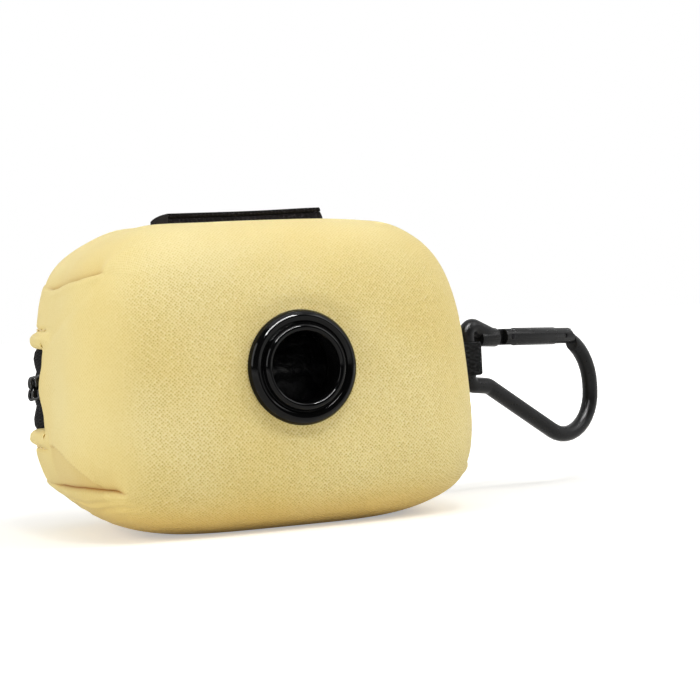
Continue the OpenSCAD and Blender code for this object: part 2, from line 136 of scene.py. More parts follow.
# A circle or a part of one, from one angle to another in degrees.
def arcOf(centre, radius, first, last, steps):
    a = np.radians(np.linspace(first, last, steps))
    return np.stack([centre[0] + radius * np.cos(a), centre[1] + radius * np.sin(a)], 1)


# A circle as a closed ring of points.
def circle(radius, sides):
    return arcOf((0, 0), radius, 0, 360, sides + 1)[:-1]


# A rectangle with rounded corners as a closed ring of points.
def roundedRectangle(width, height, radius, steps):
    x, y = width / 2 - radius, height / 2 - radius
    corners = [(x, y), (-x, y), (-x, -y), (x, -y)]
    return np.concatenate([arcOf(at, radius, 90 * k, 90 * k + 90, steps) for k, at in enumerate(corners)])


# Two directions at right angles to an axis and to each other.
def sidesOf(axis):
    side = unit(np.cross(axis, [0.0, 0.0, 1.0]))
    return side, np.cross(axis, side)


# Points on a circle round an axis, from its centre: radius * (cos(a) * side + sin(a) * other side).
def spokes(axis, a):
    side, other = sidesOf(axis)
    return np.cos(a)[:, None] * side + np.sin(a)[:, None] * other


# Vectors of length 1.
def unit(v):
    return v / np.maximum(np.linalg.norm(v, axis=-1, keepdims=True), 1e-12)


# 0 up to low, 1 from high on, and t * t * (3 - 2 * t) between them. With low above high it falls instead.
def smoothStep(low, high, x):
    t = np.clip((x - low) / (high - low), 0, 1)
    return t * t * (3 - 2 * t)


# A smooth hump: 1 at the centre, 0 at one half width away and beyond.
def hump(x, centre, half):
    t = np.clip(np.abs(x - centre) / half, 0, 1)
    return (1 - t * t) ** 2


# Distance from a rectangle in the plane, 0 inside it.
def fromRectangle(x, y, centre, half):
    besideX, besideY = np.abs(x - centre[0]) - half[0], np.abs(y - centre[1]) - half[1]
    return np.hypot(np.maximum(0, besideX), np.maximum(0, besideY))


# A smooth curve through a few points, by cubic steps that keep each point's slope.
def throughPoints(knots, steps):
    knots = np.asarray(knots, float)
    slopes = np.gradient(knots, axis=0)
    t = np.linspace(0, 1, steps, endpoint=False)[:, None]
    rows = []
    for k in range(len(knots) - 1):
        rows.append((2 * t ** 3 - 3 * t ** 2 + 1) * knots[k] + (t ** 3 - 2 * t ** 2 + t) * slopes[k]
                    + (3 * t ** 2 - 2 * t ** 3) * knots[k + 1] + (t ** 3 - t ** 2) * slopes[k + 1])
    rows.append(knots[-1:])
    return np.concatenate(rows)


# The shortest distance from each point to a broken line.
def distanceToLine(points, line):
    best = np.full(points.shape[:-1], np.inf)
    for a, b in zip(line[:-1], line[1:]):
        d = b - a
        t = np.clip(((points - a) @ d) / (d @ d), 0, 1)
        best = np.minimum(best, np.linalg.norm(points - a - t[..., None] * d, axis=-1))
    return best


# Node helpers: put() adds a node, sets its options and fills its sockets with numbers or links.
def put(tree, kind, sockets=None, **options):
    added = tree.nodes.new(kind)
    for option, value in options.items():
        setattr(added, option, value)
    for socket, value in (sockets or {}).items():
        if isinstance(value, bpy.types.NodeSocket):
            tree.links.new(value, added.inputs[socket])
        else:
            added.inputs[socket].default_value = value
    return added


def sums(tree, operation, *values):
    return put(tree, "ShaderNodeMath", dict(enumerate(values)), operation=operation).outputs[0]


def times(tree, first, second):
    return sums(tree, "MULTIPLY", first, second)


def timesPlus(tree, value, factor, offset):
    return sums(tree, "MULTIPLY_ADD", value, factor, offset)


def vectorSum(tree, operation, first, second):
    return put(tree, "ShaderNodeVectorMath", {0: first, 1: second}, operation=operation).outputs[0]


def stepped(tree, value, low, high):
    limits = {"Value": value, "From Min": low, "From Max": high}
    return put(tree, "ShaderNodeMapRange", limits, interpolation_type="SMOOTHSTEP").outputs[0]


def noise(tree, place, scale, detail, **more):
    return put(tree, "ShaderNodeTexNoise", {"Vector": place, "Scale": scale, "Detail": detail, **more}).outputs


def axes(tree, place):
    return put(tree, "ShaderNodeSeparateXYZ", {0: place}).outputs


# A group with one vector input called Place, some numbers, and numbers out.
def newEffect(name, numbers, results):
    tree = bpy.data.node_groups.new(name, "ShaderNodeTree")
    sockets = tree.interface
    sockets.new_socket("Place", in_out="INPUT", socket_type="NodeSocketVector")
    for label, start in numbers.items():
        sockets.new_socket(label, in_out="INPUT", socket_type="NodeSocketFloat").default_value = start
    for label in results:
        sockets.new_socket(label, in_out="OUTPUT", socket_type="NodeSocketFloat")
    return tree, tree.nodes.new("NodeGroupInput").outputs, tree.nodes.new("NodeGroupOutput")


def giveOut(tree, sink, **results):
    for label, value in results.items():
        tree.links.new(value, sink.inputs[label])


# Small round dents with crests between them, on a loose lattice turned by 45 degrees; the materials paint shade
# into the dents and highlights onto the crests. No two are alike.
# Place is in millimetres.
def knitEffect():
    tree, given, sink = newEffect("knitDents", {"Pitch": 0.68, "Wander": 0.22, "Low": 0.1, "High": 0.46},
                                  ["Dent", "Crest", "Height"])
    drift = vectorSum(tree, "SUBTRACT", noise(tree, given["Place"], 0.35, 2.0)["Color"], (0.5, 0.5, 0.5))
    drift = put(tree, "ShaderNodeVectorMath", {0: drift, "Scale": given["Wander"]}, operation="SCALE")
    place = vectorSum(tree, "ADD", given["Place"], drift.outputs[0])
    turned = put(tree, "ShaderNodeVectorRotate", {"Vector": place, "Angle": math.pi / 4},
                 rotation_type="Z_AXIS")
    perPitch = sums(tree, "DIVIDE", 1.0, given["Pitch"])
    lattice = {"Vector": turned.outputs[0], "Scale": perPitch, "Randomness": 0.34}
    cells = put(tree, "ShaderNodeTexVoronoi", lattice, voronoi_dimensions="2D").outputs
    chance = put(tree, "ShaderNodeSeparateColor", {0: cells["Color"]}).outputs
    dent = stepped(tree, cells["Distance"], given["High"], given["Low"])
    dent = times(tree, dent, timesPlus(tree, chance[0], 0.65, 0.4))
    crest = stepped(tree, cells["Distance"], 0.52, 0.72)
    crest = times(tree, crest, timesPlus(tree, chance[1], 0.6, 0.4))
    fluff = noise(tree, given["Place"], 5.0, 3.0)[0]
    giveOut(tree, sink, Dent=dent, Crest=crest, Height=sums(tree, "SUBTRACT", times(tree, fluff, 0.35), dent))
    return tree


# Plain weave: height = sin(along) * sin(across), with threads of two widths and a little unevenness.
# Place is in millimetres.
def weaveEffect():
    tree, given, sink = newEffect("plainWeave", {"Along": 0.5, "Across": 0.4, "Uneven": 0.25},
                                  ["Height", "Dip"])
    place = axes(tree, given["Place"])
    rough = noise(tree, given["Place"], 1.6, 3.0)[0]
    waver = times(tree, rough, given["Uneven"])
    waves = []
    for axis, width in ((0, "Along"), (1, "Across")):
        threads = sums(tree, "ADD", sums(tree, "DIVIDE", place[axis], given[width]), waver)
        waves.append(sums(tree, "SINE", times(tree, threads, math.pi)))
    height = timesPlus(tree, times(tree, *waves), 0.5, 0.5)
    height = timesPlus(tree, rough, 0.3, height)
    giveOut(tree, sink, Height=height, Dip=stepped(tree, height, 0.75, 0.15))
    return tree


# Tangled fibres and a few caught bits of lint. Place is in metres.
def fuzzEffect():
    tree, given, sink = newEffect("loopFuzz", {"Fibres": 4200.0, "Specks": 260.0}, ["Height", "Lint"])
    tangle = noise(tree, given["Place"], given["Fibres"], 4.0, Roughness=0.65, Distortion=1.2)[0]
    specks = put(tree, "ShaderNodeTexVoronoi", {"Vector": given["Place"], "Scale": given["Specks"]}).outputs
    chance = put(tree, "ShaderNodeSeparateColor", {0: specks["Color"]}).outputs[0]
    small = stepped(tree, specks["Distance"], 0.09, 0.04)
    lint = times(tree, small, sums(tree, "GREATER_THAN", chance, 0.84))
    giveOut(tree, sink, Height=tangle, Lint=lint)
    return tree


# Slow and quick unevenness of a surface, for colour and gloss. Place is in metres.
def patchEffect():
    tree, given, sink = newEffect("patches", {"Broad": 45.0, "Fine": 900.0}, ["Broad", "Fine"])
    broad = noise(tree, given["Place"], given["Broad"], 3.0)[0]
    fine = noise(tree, given["Place"], given["Fine"], 4.0)[0]
    giveOut(tree, sink, Broad=stepped(tree, broad, 0.3, 0.7), Fine=fine)
    return tree


effects = {"knit": knitEffect(), "weave": weaveEffect(), "fuzz": fuzzEffect(), "patches": patchEffect()}


# A material with its shader, ready for the patterns that feed it.
def newMaterial(name, roughness, metallic=0.0, specular=0.5):
    material = bpy.data.materials.new(name)
    material.use_nodes = True
    tree = material.node_tree
    shader = tree.nodes["Principled BSDF"]
    shader.inputs["Roughness"].default_value = roughness
    shader.inputs["Metallic"].default_value = metallic
    shader.inputs["Specular IOR Level"].default_value = specular
    return material, tree, shader


def onCloth(tree):
    return put(tree, "ShaderNodeUVMap", uv_map="surfaceMap").outputs[0]


def onObject(tree):
    return put(tree, "ShaderNodeTexCoord").outputs["Object"]


def effect(tree, name, place, **numbers):
    return put(tree, "ShaderNodeGroup", {"Place": place, **numbers}, node_tree=effects[name]).outputs


def blendColors(tree, share, first, second):
    mix = put(tree, "ShaderNodeMix", data_type="RGBA")
    for socket, value in ((mix.inputs["Factor"], share), (mix.inputs[6], first), (mix.inputs[7], second)):
        if isinstance(value, bpy.types.NodeSocket):
            tree.links.new(value, socket)
        else:
            socket.default_value = (*value, 1)
    return mix.outputs[2]


# A colour's tone, darker or paler by a factor.
def toned(color, factor):
    return tuple(factor * c for c in color)


def paint(tree, shader, color, roughness=None):
    tree.links.new(color, shader.inputs["Base Color"])
    if roughness is not None:
        tree.links.new(roughness, shader.inputs["Roughness"])


# Depth is in millimetres.
def bump(tree, shader, height, depth, strength=1.0):
    bumped = put(tree, "ShaderNodeBump", {"Height": height, "Distance": depth * mm, "Strength": strength})
    tree.links.new(bumped.outputs[0], shader.inputs["Normal"])


# Colours, depth in millimetres and places in metres.
cloth = {
    "color": (0.83, 0.665, 0.262),
    "pale": (0.87, 0.735, 0.345),
    # Painted shade: the deep colour darkens the bottoms of the dents, and the crest colour is a painted
    # highlight on the loops between them.
    "deep": (0.60, 0.44, 0.09),       # bottoms of the dents
    "dentShadeTone": 0.85,
    "crest": (0.95, 0.85, 0.52),      # loops that stand between the dents
    "crestHighlightTone": 0.6,
    # Painted shade along the seams and under the flap edge: a dark warm line and a soft darkening beside it.
    "seam": (0.40, 0.165, 0.02),
    "seamShadeTone": 0.95,
    "foot": (0.84, 0.53, 0.11),       # painted warm shade down to the floor
    "footShadeTone": 0.55,
    "footShadeTop": 0.0095,
    "gloss": (0.7, 0.86),
    "sheen": 0.12,
    "patches": {"Broad": 38.0, "Fine": 2600.0},
    "knitPitch": 0.48,
    "dentDepth": 0.09,
    "taut": (-0.0335, -0.026, 0.28),  # x where the knit is tight, x where it is loose, share that shows
    "crown": (0.042, 0.053, 0.4),     # z where the knit starts to fade, z where it is faintest, share that shows there: a painted paler, smoother top, as brightly lit
}


# Knitted face of the neoprene: painted shade in the dents and painted highlights on the crests, smoother where
# it is pulled tight at the left end, fading towards the crown as a painted paler top, with painted warm shade
# down to the floor and painted shade along the seams.
def clothMaterial():
    material, tree, shader = newMaterial("neopreneKnit", cloth["gloss"][0], specular=0.22)
    shader.inputs["Sheen Weight"].default_value = cloth["sheen"]
    shader.inputs["Sheen Roughness"].default_value = 0.4
    knit = effect(tree, "knit", onCloth(tree), Pitch=cloth["knitPitch"])
    spots = effect(tree, "patches", onObject(tree), **cloth["patches"])
    place = axes(tree, onObject(tree))
    tautEnd, tautStart, tautKnit = cloth["taut"]
    crownStart, crownEnd, crownKnit = cloth["crown"]
    loose = timesPlus(tree, stepped(tree, place[0], tautEnd, tautStart), 1 - tautKnit, tautKnit)
    crown = stepped(tree, place[2], crownStart, crownEnd)
    loose = times(tree, loose, timesPlus(tree, crown, crownKnit - 1, 1.0))
    tone = blendColors(tree, spots["Broad"], cloth["color"], cloth["pale"])
    # Painted shade in the dents and painted highlights on the crests.
    for part, share, color in (("Dent", cloth["dentShadeTone"], cloth["deep"]),
                               ("Crest", cloth["crestHighlightTone"], cloth["crest"])):
        tone = blendColors(tree, times(tree, times(tree, knit[part], loose), share), tone, color)
    # Painted warm shade towards the floor, standing in for the dim bounce light under the pouch.
    foot = times(tree, stepped(tree, place[2], cloth["footShadeTop"], 0.0), cloth["footShadeTone"])
    tone = blendColors(tree, foot, tone, cloth["foot"])
    # Painted shade along the dart seams and under the flap edge, read from the seamShade attribute.
    seam = put(tree, "ShaderNodeAttribute", attribute_name="seamShade").outputs["Fac"]
    tone = blendColors(tree, times(tree, seam, cloth["seamShadeTone"]), tone, cloth["seam"])
    low, high = cloth["gloss"]
    paint(tree, shader, tone, timesPlus(tree, spots["Fine"], high - low, low))
    height = timesPlus(tree, spots["Fine"], 0.2, times(tree, knit["Height"], loose))
    bump(tree, shader, height, cloth["dentDepth"])
    return material


# Black jersey on the inside of the foam, with painted shade in its dents.
def liningMaterial():
    material, tree, shader = newMaterial("jerseyLining", 0.9, specular=0.2)
    knit = effect(tree, "knit", onCloth(tree), Pitch=0.9)
    paint(tree, shader, blendColors(tree, knit["Dent"], (0.014, 0.014, 0.015), (0.004, 0.004, 0.004)))
    bump(tree, shader, knit["Height"], 0.12)
    return material


# Woven tape in one colour, with painted shade in the dips between the threads.
def wovenMaterial(name, color, along, across, depth, roughness):
    material, tree, shader = newMaterial(name, roughness, specular=0.1)
    weave = effect(tree, "weave", onCloth(tree), Along=along, Across=across)
    spots = effect(tree, "patches", onObject(tree), Broad=160.0, Fine=5000.0)
    tone = blendColors(tree, times(tree, spots["Fine"], 0.5), color, toned(color, 2.1))
    paint(tree, shader, blendColors(tree, weave["Dip"], tone, toned(color, 0.35)))
    bump(tree, shader, weave["Height"], depth)
    return material


# The strap's outer face is a short woven pile with a little lint in it.
def strapMaterial():
    material, tree, shader = newMaterial("hookAndLoop", 0.92, specular=0.08)
    shader.inputs["Sheen Weight"].default_value = 0.03
    weave = effect(tree, "weave", onCloth(tree), Along=0.42, Across=0.36)
    fuzz = effect(tree, "fuzz", onObject(tree))
    tone = blendColors(tree, fuzz["Height"], (0.003, 0.0027, 0.0028), (0.015, 0.0125, 0.0135))
    paint(tree, shader, blendColors(tree, times(tree, fuzz["Lint"], 0.8), tone, (0.4, 0.36, 0.34)))
    bump(tree, shader, timesPlus(tree, fuzz["Height"], 0.9, weave["Height"]), 0.12)
    return material


# Moulded or painted parts: even colour with a faint orange-peel surface and uneven gloss.
def shellMaterial(name, color, low, high, specular, peel, coat=0.0):
    material, tree, shader = newMaterial(name, low, specular=specular)
    shader.inputs["Coat Weight"].default_value = coat
    shader.inputs["Coat Roughness"].default_value = 0.04
    spots = effect(tree, "patches", onObject(tree), Broad=300.0, Fine=1500.0)
    gloss = timesPlus(tree, spots["Fine"], high - low, low)
    paint(tree, shader, blendColors(tree, spots["Broad"], color, toned(color, 1.35)), gloss)
    bump(tree, shader, sums(tree, "ADD", spots["Fine"], spots["Broad"]), peel, 0.5)
    return material


# Twisted thread: slanting ply lines, by the place along the stitch and round it.
def threadMaterial(name, light, dark):
    material, tree, shader = newMaterial(name, 0.6, specular=0.3)
    place = axes(tree, onCloth(tree))
    slant = sums(tree, "ADD", times(tree, place[0], 9.0), times(tree, place[1], 6.0))
    ply = stepped(tree, sums(tree, "SINE", slant), -0.9, 0.3)
    paint(tree, shader, blendColors(tree, ply, dark, light))
    bump(tree, shader, ply, 0.05)
    return material


# Thin plastic film, wound and crinkled.
def filmMaterial():
    material, tree, shader = newMaterial("bagFilm", 0.3, specular=0.25)
    creases = noise(tree, onObject(tree), 420.0, 5.0, Distortion=1.6)[0]
    ribs = sums(tree, "SINE", times(tree, axes(tree, onCloth(tree))[1], 2.1))
    tone = blendColors(tree, stepped(tree, creases, 0.35, 0.7), (0.004, 0.004, 0.0045), (0.012, 0.012, 0.013))
    paint(tree, shader, tone, timesPlus(tree, creases, 0.3, 0.18))
    bump(tree, shader, timesPlus(tree, ribs, 0.2, creases), 0.5)
    return material


# Noise drawn out along one axis of the object.
def drawnOut(tree, stretch, scale):
    squeezed = put(tree, "ShaderNodeMapping", {"Vector": onObject(tree), "Scale": stretch}).outputs[0]
    return noise(tree, squeezed, scale, 4.0)[0]


# Kraft paper tube with short fibres.
def paperMaterial():
    material, tree, shader = newMaterial("kraftPaper", 0.88, specular=0.2)
    fibres = drawnOut(tree, (0.25, 1.0, 1.0), 2600.0)
    spots = effect(tree, "patches", onObject(tree), Broad=240.0, Fine=1800.0)
    tone = blendColors(tree, stepped(tree, fibres, 0.35, 0.68), (0.30, 0.19, 0.10), (0.47, 0.33, 0.2))
    paint(tree, shader, blendColors(tree, times(tree, spots["Broad"], 0.35), tone, (0.38, 0.25, 0.14)))
    bump(tree, shader, fibres, 0.06)
    return material


# Drawn or turned steel with fine lines round its axis.
def steelMaterial(name, color, roughness):
    material, tree, shader = newMaterial(name, roughness, metallic=1.0)
    lines = drawnOut(tree, (1.0, 1.0, 7.0), 2200.0)
    gloss = timesPlus(tree, lines, 0.25, roughness - 0.1)
    paint(tree, shader, blendColors(tree, lines, color, toned(color, 0.7)), gloss)
    bump(tree, shader, lines, 0.012)
    return material


neoprene = clothMaterial()
lining = liningMaterial()
tapeCloth = wovenMaterial("zipTapeCloth", (0.009, 0.009, 0.0095), 0.62, 0.31, 0.12, 0.75)
webbingCloth = wovenMaterial("webbingCloth", (0.0025, 0.0025, 0.0026), 0.85, 0.45, 0.13, 0.8)
strapCloth = strapMaterial()
coilNylon = shellMaterial("coilNylon", (0.012, 0.012, 0.013), 0.25, 0.5, 0.5, 0.01)
zipEnamel = shellMaterial("zipEnamel", (0.006, 0.006, 0.006), 0.16, 0.34, 0.28, 0.015, coat=0.15)
grommetGloss = shellMaterial("grommetGloss", (0.0022, 0.0022, 0.0023), 0.05, 0.14, 0.12, 0.004, coat=0.03)
carabinerPaint = shellMaterial("carabinerPaint", (0.0055, 0.0055, 0.0058), 0.2, 0.4, 0.16, 0.02)
paleThread = threadMaterial("paleThread", (0.86, 0.73, 0.43), (0.74, 0.57, 0.27))
bagFilm = filmMaterial()
kraftPaper = paperMaterial()
rivetSteel = steelMaterial("rivetSteel", (0.012, 0.012, 0.013), 0.34)
springSteel = steelMaterial("springSteel", (0.6, 0.6, 0.62), 0.28)
print("materials ready")


camera = {
    "yaw": 23.227,
    "elevation": 1.358,
    "roll": 3.002,
    "distance": 365.985,
    "shift": (-18.71, -2.996),    # to the side and up, across the view
    "aim": (0.0, 0.0, 29.0),
    "lens": 100.29,
    "sensor": 36.0,
}


# The camera's axes by turns round z, then up, then about its own view: place = aim + back * distance - shifts.
def aimCamera():
    yaw, elevation, roll = (math.radians(camera[name]) for name in ("yaw", "elevation", "roll"))
    back = np.array([-math.sin(yaw) * math.cos(elevation), -math.cos(yaw) * math.cos(elevation),
                     math.sin(elevation)])
    right = np.array([math.cos(yaw), -math.sin(yaw), 0.0])
    up = np.cross(back, right)
    across = math.cos(roll) * right - math.sin(roll) * up
    above = math.sin(roll) * right + math.cos(roll) * up
    sideShift, upShift = camera["shift"]
    place = np.array(camera["aim"]) + back * camera["distance"] - across * sideShift - above * upShift
    seen = bpy.data.objects.new("camera", bpy.data.cameras.new("camera"))
    scene.collection.objects.link(seen)
    seen.data.lens = camera["lens"]
    seen.data.sensor_width = camera["sensor"]
    turned = Matrix(np.stack([across, above, back], 1).tolist()).to_4x4()
    seen.matrix_world = Matrix.Translation(Vector(place * mm)) @ turned
    scene.camera = seen


aimCamera()


# The pouch is a rounded body |x/a|^p + |y/b|^p + |z/c|^p = 1 whose ends and faces lean inward to the crown.
pouch = {
    "halfLength": 38.8,
    "halfDepth": 26.1,
    "halfHeight": 28.7,
    "baseCut": 0.7,
    "squareness": 3.8,
    "rightLean": 3.3,
    "leftLean": 1.7,
    "faceLean": 1.15,
    "wall": 2.5,
    "gapLow": 20.7,
    "gapHigh": 34.5,
    "gapStart": 4.5,            # y where the slot begins at both ends, from there round the back
    "hemRadius": 1.25,
    "grommetAt": (0.0, -26.06, 29.0),
    "grommetTilt": 2.29,
    "grommetHole": 7.05,
    "tabAt": (46.5, 2.0, 27.6),
    "slitHalf": (1.17, 3.36),
}
centreZ = pouch["halfHeight"] - pouch["baseCut"]
zipZ = (pouch["gapLow"] + pouch["gapHigh"]) / 2
gapHalf = (pouch["gapHigh"] - pouch["gapLow"]) / 2
grommetSeat = np.array(pouch["grommetAt"])


# Reach of a rounded square of half width 1 at an angle: (|cos a|^p + |sin a|^p) ^ (-1/p).
def rounding(a):
    p = pouch["squareness"]
    return (np.abs(np.cos(a)) ** p + np.abs(np.sin(a)) ** p) ** (-1 / p)


# Share by which the pouch narrows along x, and along y, at the height of the crown.
def leans(x):
    leanX = np.where(x > 0, pouch["rightLean"], pouch["leftLean"]) / pouch["halfLength"]
    return leanX, pouch["faceLean"] / pouch["halfDepth"]


# Narrows x and y in step with the rise above the belt, widest at the base.
def leaned(x, y, rise):
    h = rise / pouch["halfHeight"]
    leanX, leanY = leans(x)
    return np.stack(np.broadcast_arrays(x * (1 - leanX * h), y * (1 - leanY * h), rise + centreZ), -1)


# Point at a turn round the vertical axis, where the section has the given reach: 1 at the belt, 0 at a pole.
def leanedAt(turn, reach, rise, inset):
    x = (pouch["halfLength"] - inset) * reach * rounding(turn) * np.cos(turn)
    y = (pouch["halfDepth"] - inset) * reach * rounding(turn) * np.sin(turn)
    return leaned(x, y, rise)


# Point of the body at a turn round the vertical axis and a tilt above the belt, inset from the outer skin.
def bodyPoint(turn, tilt, inset=0.0):
    rise = (pouch["halfHeight"] - inset) * rounding(tilt) * np.sin(tilt)
    rise = np.maximum(rise, pouch["baseCut"] - pouch["halfHeight"] + inset)
    return leanedAt(turn, rounding(tilt) * np.cos(tilt), rise, inset)


# Point of the body at a turn and a height, any depth below the skin.
def beltPoint(turn, z, inset):
    p = pouch["squareness"]
    rise = z - centreZ
    reach = (1 - (np.abs(rise) / (pouch["halfHeight"] - inset)) ** p) ** (1 / p)
    return leanedAt(turn, reach, rise, inset)


# Across the skin: the cross product of a small step round it and a small step up it.
def bodyNormal(turn, tilt):
    step = 2e-3
    side = bodyPoint(turn + step, tilt) - bodyPoint(turn - step, tilt)
    up = bodyPoint(turn, np.minimum(tilt + step, math.pi / 2)) - bodyPoint(turn, tilt - step)
    normal = np.cross(side, up)
    flat = np.linalg.norm(normal, axis=-1, keepdims=True) < 1e-9
    pole = np.zeros_like(normal)
    pole[..., 2] = np.sign(tilt)
    return unit(np.where(flat, pole, normal))


# Turn and tilt of a point on the body.
def turnAndTilt(point):
    p = pouch["squareness"]
    x, y, z = point
    h = (z - centreZ) / pouch["halfHeight"]
    leanX, leanY = leans(x)
    u = x / (1 - leanX * h) / pouch["halfLength"]
    v = y / (1 - leanY * h) / pouch["halfDepth"]
    reach = (abs(u) ** p + abs(v) ** p) ** (1 / p)
    return math.atan2(v, u) % tau, math.atan2(h, reach)


# Tilt at which the body has the given height.
def tiltAt(z):
    h = (z - centreZ) / pouch["halfHeight"]
    return math.atan2(h, (1 - abs(h) ** pouch["squareness"]) ** (1 / pouch["squareness"]))


# Stops joined by steps that follow the wanted spacing at each place.
def spaced(stops, spacing):
    rows = [stops[0]]
    for low, high in zip(stops[:-1], stops[1:]):
        fine = np.linspace(low, high, 400)
        density = 1 / spacing((fine[1:] + fine[:-1]) / 2)
        total = np.r_[0, np.cumsum(density * np.diff(fine))]
        count = max(1, math.ceil(total[-1]))
        rows.extend(np.interp(np.arange(1, count + 1) * total[-1] / count, total, fine))
    return np.array(rows)


# Everything that sewing and wear do to that body, in millimetres unless a line says otherwise.
cover = {
    "darts": {                  # seams that take in the cloth at the four corners
        "leftUpper": [(-32.8, -16.4, 47.5), (-35.1, -11.7, 46.4), (-36.2, -2.0, 45.4), (-36.3, 3.4, 45.2),
                      (-35.9, 11.0, 45.9), (-33.2, 17.0, 47.3)],
        "leftLower": [(-31.5, -20.6, 9.2), (-34.4, -18.2, 9.1), (-37.3, -12.0, 9.3), (-37.7, 2.9, 8.7),
                      (-36.9, 13.0, 9.9), (-32.6, 20.0, 8.9)],
        "rightUpper": [(32.4, -12.5, 47.6), (34.0, -6.0, 46.6), (34.4, 2.0, 46.2), (34.0, 9.0, 46.6),
                       (32.0, 15.0, 47.8)],
        "rightLower": [(35.4, -17.5, 8.6), (38.6, -9.0, 9.6), (39.2, 2.0, 9.8), (38.6, 11.0, 9.6),
                       (35.4, 19.0, 8.6)],
    },
    "dartRest": {"Upper": 46.0, "Lower": 9.5},
    "dartDepth": 1.05,
    "dartWidth": 0.38,
    "dartEase": 0.85,           # how much of the tuck is let out in the middle of an end
    "easeAt": (10.0, 11.0),
    "tuckReach": 2.4,
    "edgeRise": 0.22,
    "edgeSlide": 0.3,
    # The seam line and seam shadow are painted shade, carried to the cloth colour by the seamShade attribute.
    "seamLine": (0.35, 0.22),   # reach of the dark line above a seam and below it
    "seamShadow": (0.22, 2.6),
    "lip": (1.05, 1.55, 1.75),  # height, distance from the slot and half width of the rolled hem
    "stitchGroove": (0.45, 3.3, 0.8),
    "hemFrom": (-1.5, 6.5),
    "bendReach": 1.5,
    "bendDepth": 1.35,
    "bendEase": (-4.5, 0.4),
    "flapEdge": [(-17.8, 9.7), (-15.8, 11.9), (-13.2, 13.6), (-9.1, 15.8), (-3.1, 17.4), (1.0, 18.0)],
    "flapStep": 0.6,
    "flapReach": 3.5,
    # Painted shadow on the flap under the front cloth's edge, and a painted dark line along that edge.
    "flapShadow": 0.16,
    "flapLine": 0.35,
    "liftAt": (-33.5, 10.0, 4.0),
    "liftReach": 14.0,
    "lift": 1.75,
    "strapDip": 0.95,
    "dipAt": ((2.3, 6.0), (12.0, 11.0)),
    "dipReach": 15.0,
    "crownAt": ((1.8, 2.0), (17.0, 17.0)),
    "crownReach": 8.0,
    "grommetDip": (0.3, 11.2, 2.0),
    "grommetCalm": (10.5, 16.0),
    "sway": 0.16,
    "wrinkle": 0.18,
    "rimSteps": 10,
    "rimPower": 0.72,
    "creases": [                # the line, the height and the half width of each soft fold
        ([(-32.8, -16.4, 47.5), (-31.3, -17.0, 48.9), (-29.9, -17.3, 50.1), (-27.9, -17.6, 51.2)], 0.28, 0.9),
        ([(-32.3, -17.2, 47.2), (-33.9, -16.7, 45.2), (-36.1, -13.9, 42.4), (-37.4, -9.6, 40.1),
          (-38.0, -4.4, 37.9), (-38.2, 0.1, 36.4)], -0.3, 1.3),
        ([(-31.0, -18.5, 46.0), (-31.5, -19.8, 41.0), (-31.8, -20.3, 35.0)], -0.4, 2.6),
        ([(-36.5, -17.5, 15.2), (-34.7, -19.5, 13.4), (-32.9, -20.4, 10.9), (-31.2, -20.5, 8.6)], 0.22, 1.3),
        ([(-31.2, -20.5, 8.5), (-29.5, -20.5, 7.0), (-27.4, -20.5, 5.6)], 0.25, 1.2),
    ],
    "leftBorder": [(10, 0.0), (16.5, -0.8), (20.2, -1.4), (24.3, 5.2), (27.4, 8.2), (31.3, 5.6), (34.5, 0.7),
                   (38, 0.0)],
    "borderReach": 10.0,
    "hemDip": 1.6,
    "hemDipReach": 9.0,
    "seamAt": (38.8, 2.0, 27.6),
    "slotEnds": ((38.7, 3.25, 27.6), (-38.7, 3.25, 27.6)),
    "fineTurns": (138, 226, 0.6),   # degrees: from, to, and the step between columns
    "plainTurn": 1.9,
    "fineTilt": 0.5,
    "hemTilt": 0.75,
    "plainTilt": 1.7,
    "coarseTilt": 4.0,
}


# A seam as tilt over turn, easing out to its resting tilt beyond both ends.
def dartCurve(points, rest):
    places = np.array([turnAndTilt(p) for p in points])
    places[:, 0] = np.where(places[:, 0] > 1.5 * math.pi, places[:, 0] - tau, places[:, 0])
    places = places[np.argsort(places[:, 0])]
    reach = math.radians(22)
    turns = np.r_[places[0, 0] - reach, places[:, 0], places[-1, 0] + reach]
    tilts = np.r_[rest, places[:, 1], rest]
    return turns, tilts, places[0, 0], places[-1, 0]


coverTurns = {"seam": turnAndTilt(cover["seamAt"])[0]}
coverTurns["right"], coverTurns["left"] = (turnAndTilt(end)[0] for end in cover["slotEnds"])
coverTilts = {
    "low": tiltAt(pouch["gapLow"] - pouch["hemRadius"]),
    "high": tiltAt(pouch["gapHigh"] + pouch["hemRadius"]),
    "Lower": tiltAt(cover["dartRest"]["Lower"]),
    "Upper": tiltAt(cover["dartRest"]["Upper"]),
}
darts = {name: dartCurve(line, coverTilts[name[-5:]]) for name, line in cover["darts"].items()}


# A turn as an angle near 0 for the right end, or near pi for the left one.
def turnNear(turn, centre):
    return (turn - centre + math.pi) % tau - math.pi + centre


def coverColumns():
    low, high, fine = cover["fineTurns"]

    def spacing(t):
        leftEnd = (t > math.radians(low)) & (t < math.radians(high))
        return np.radians(np.where(leftEnd, fine, cover["plainTurn"]))

    stops = [coverTurns["seam"], coverTurns["right"], math.pi / 2, coverTurns["left"], math.pi, 1.5 * math.pi,
             coverTurns["seam"] + tau]
    return spaced(stops, spacing)[:-1]


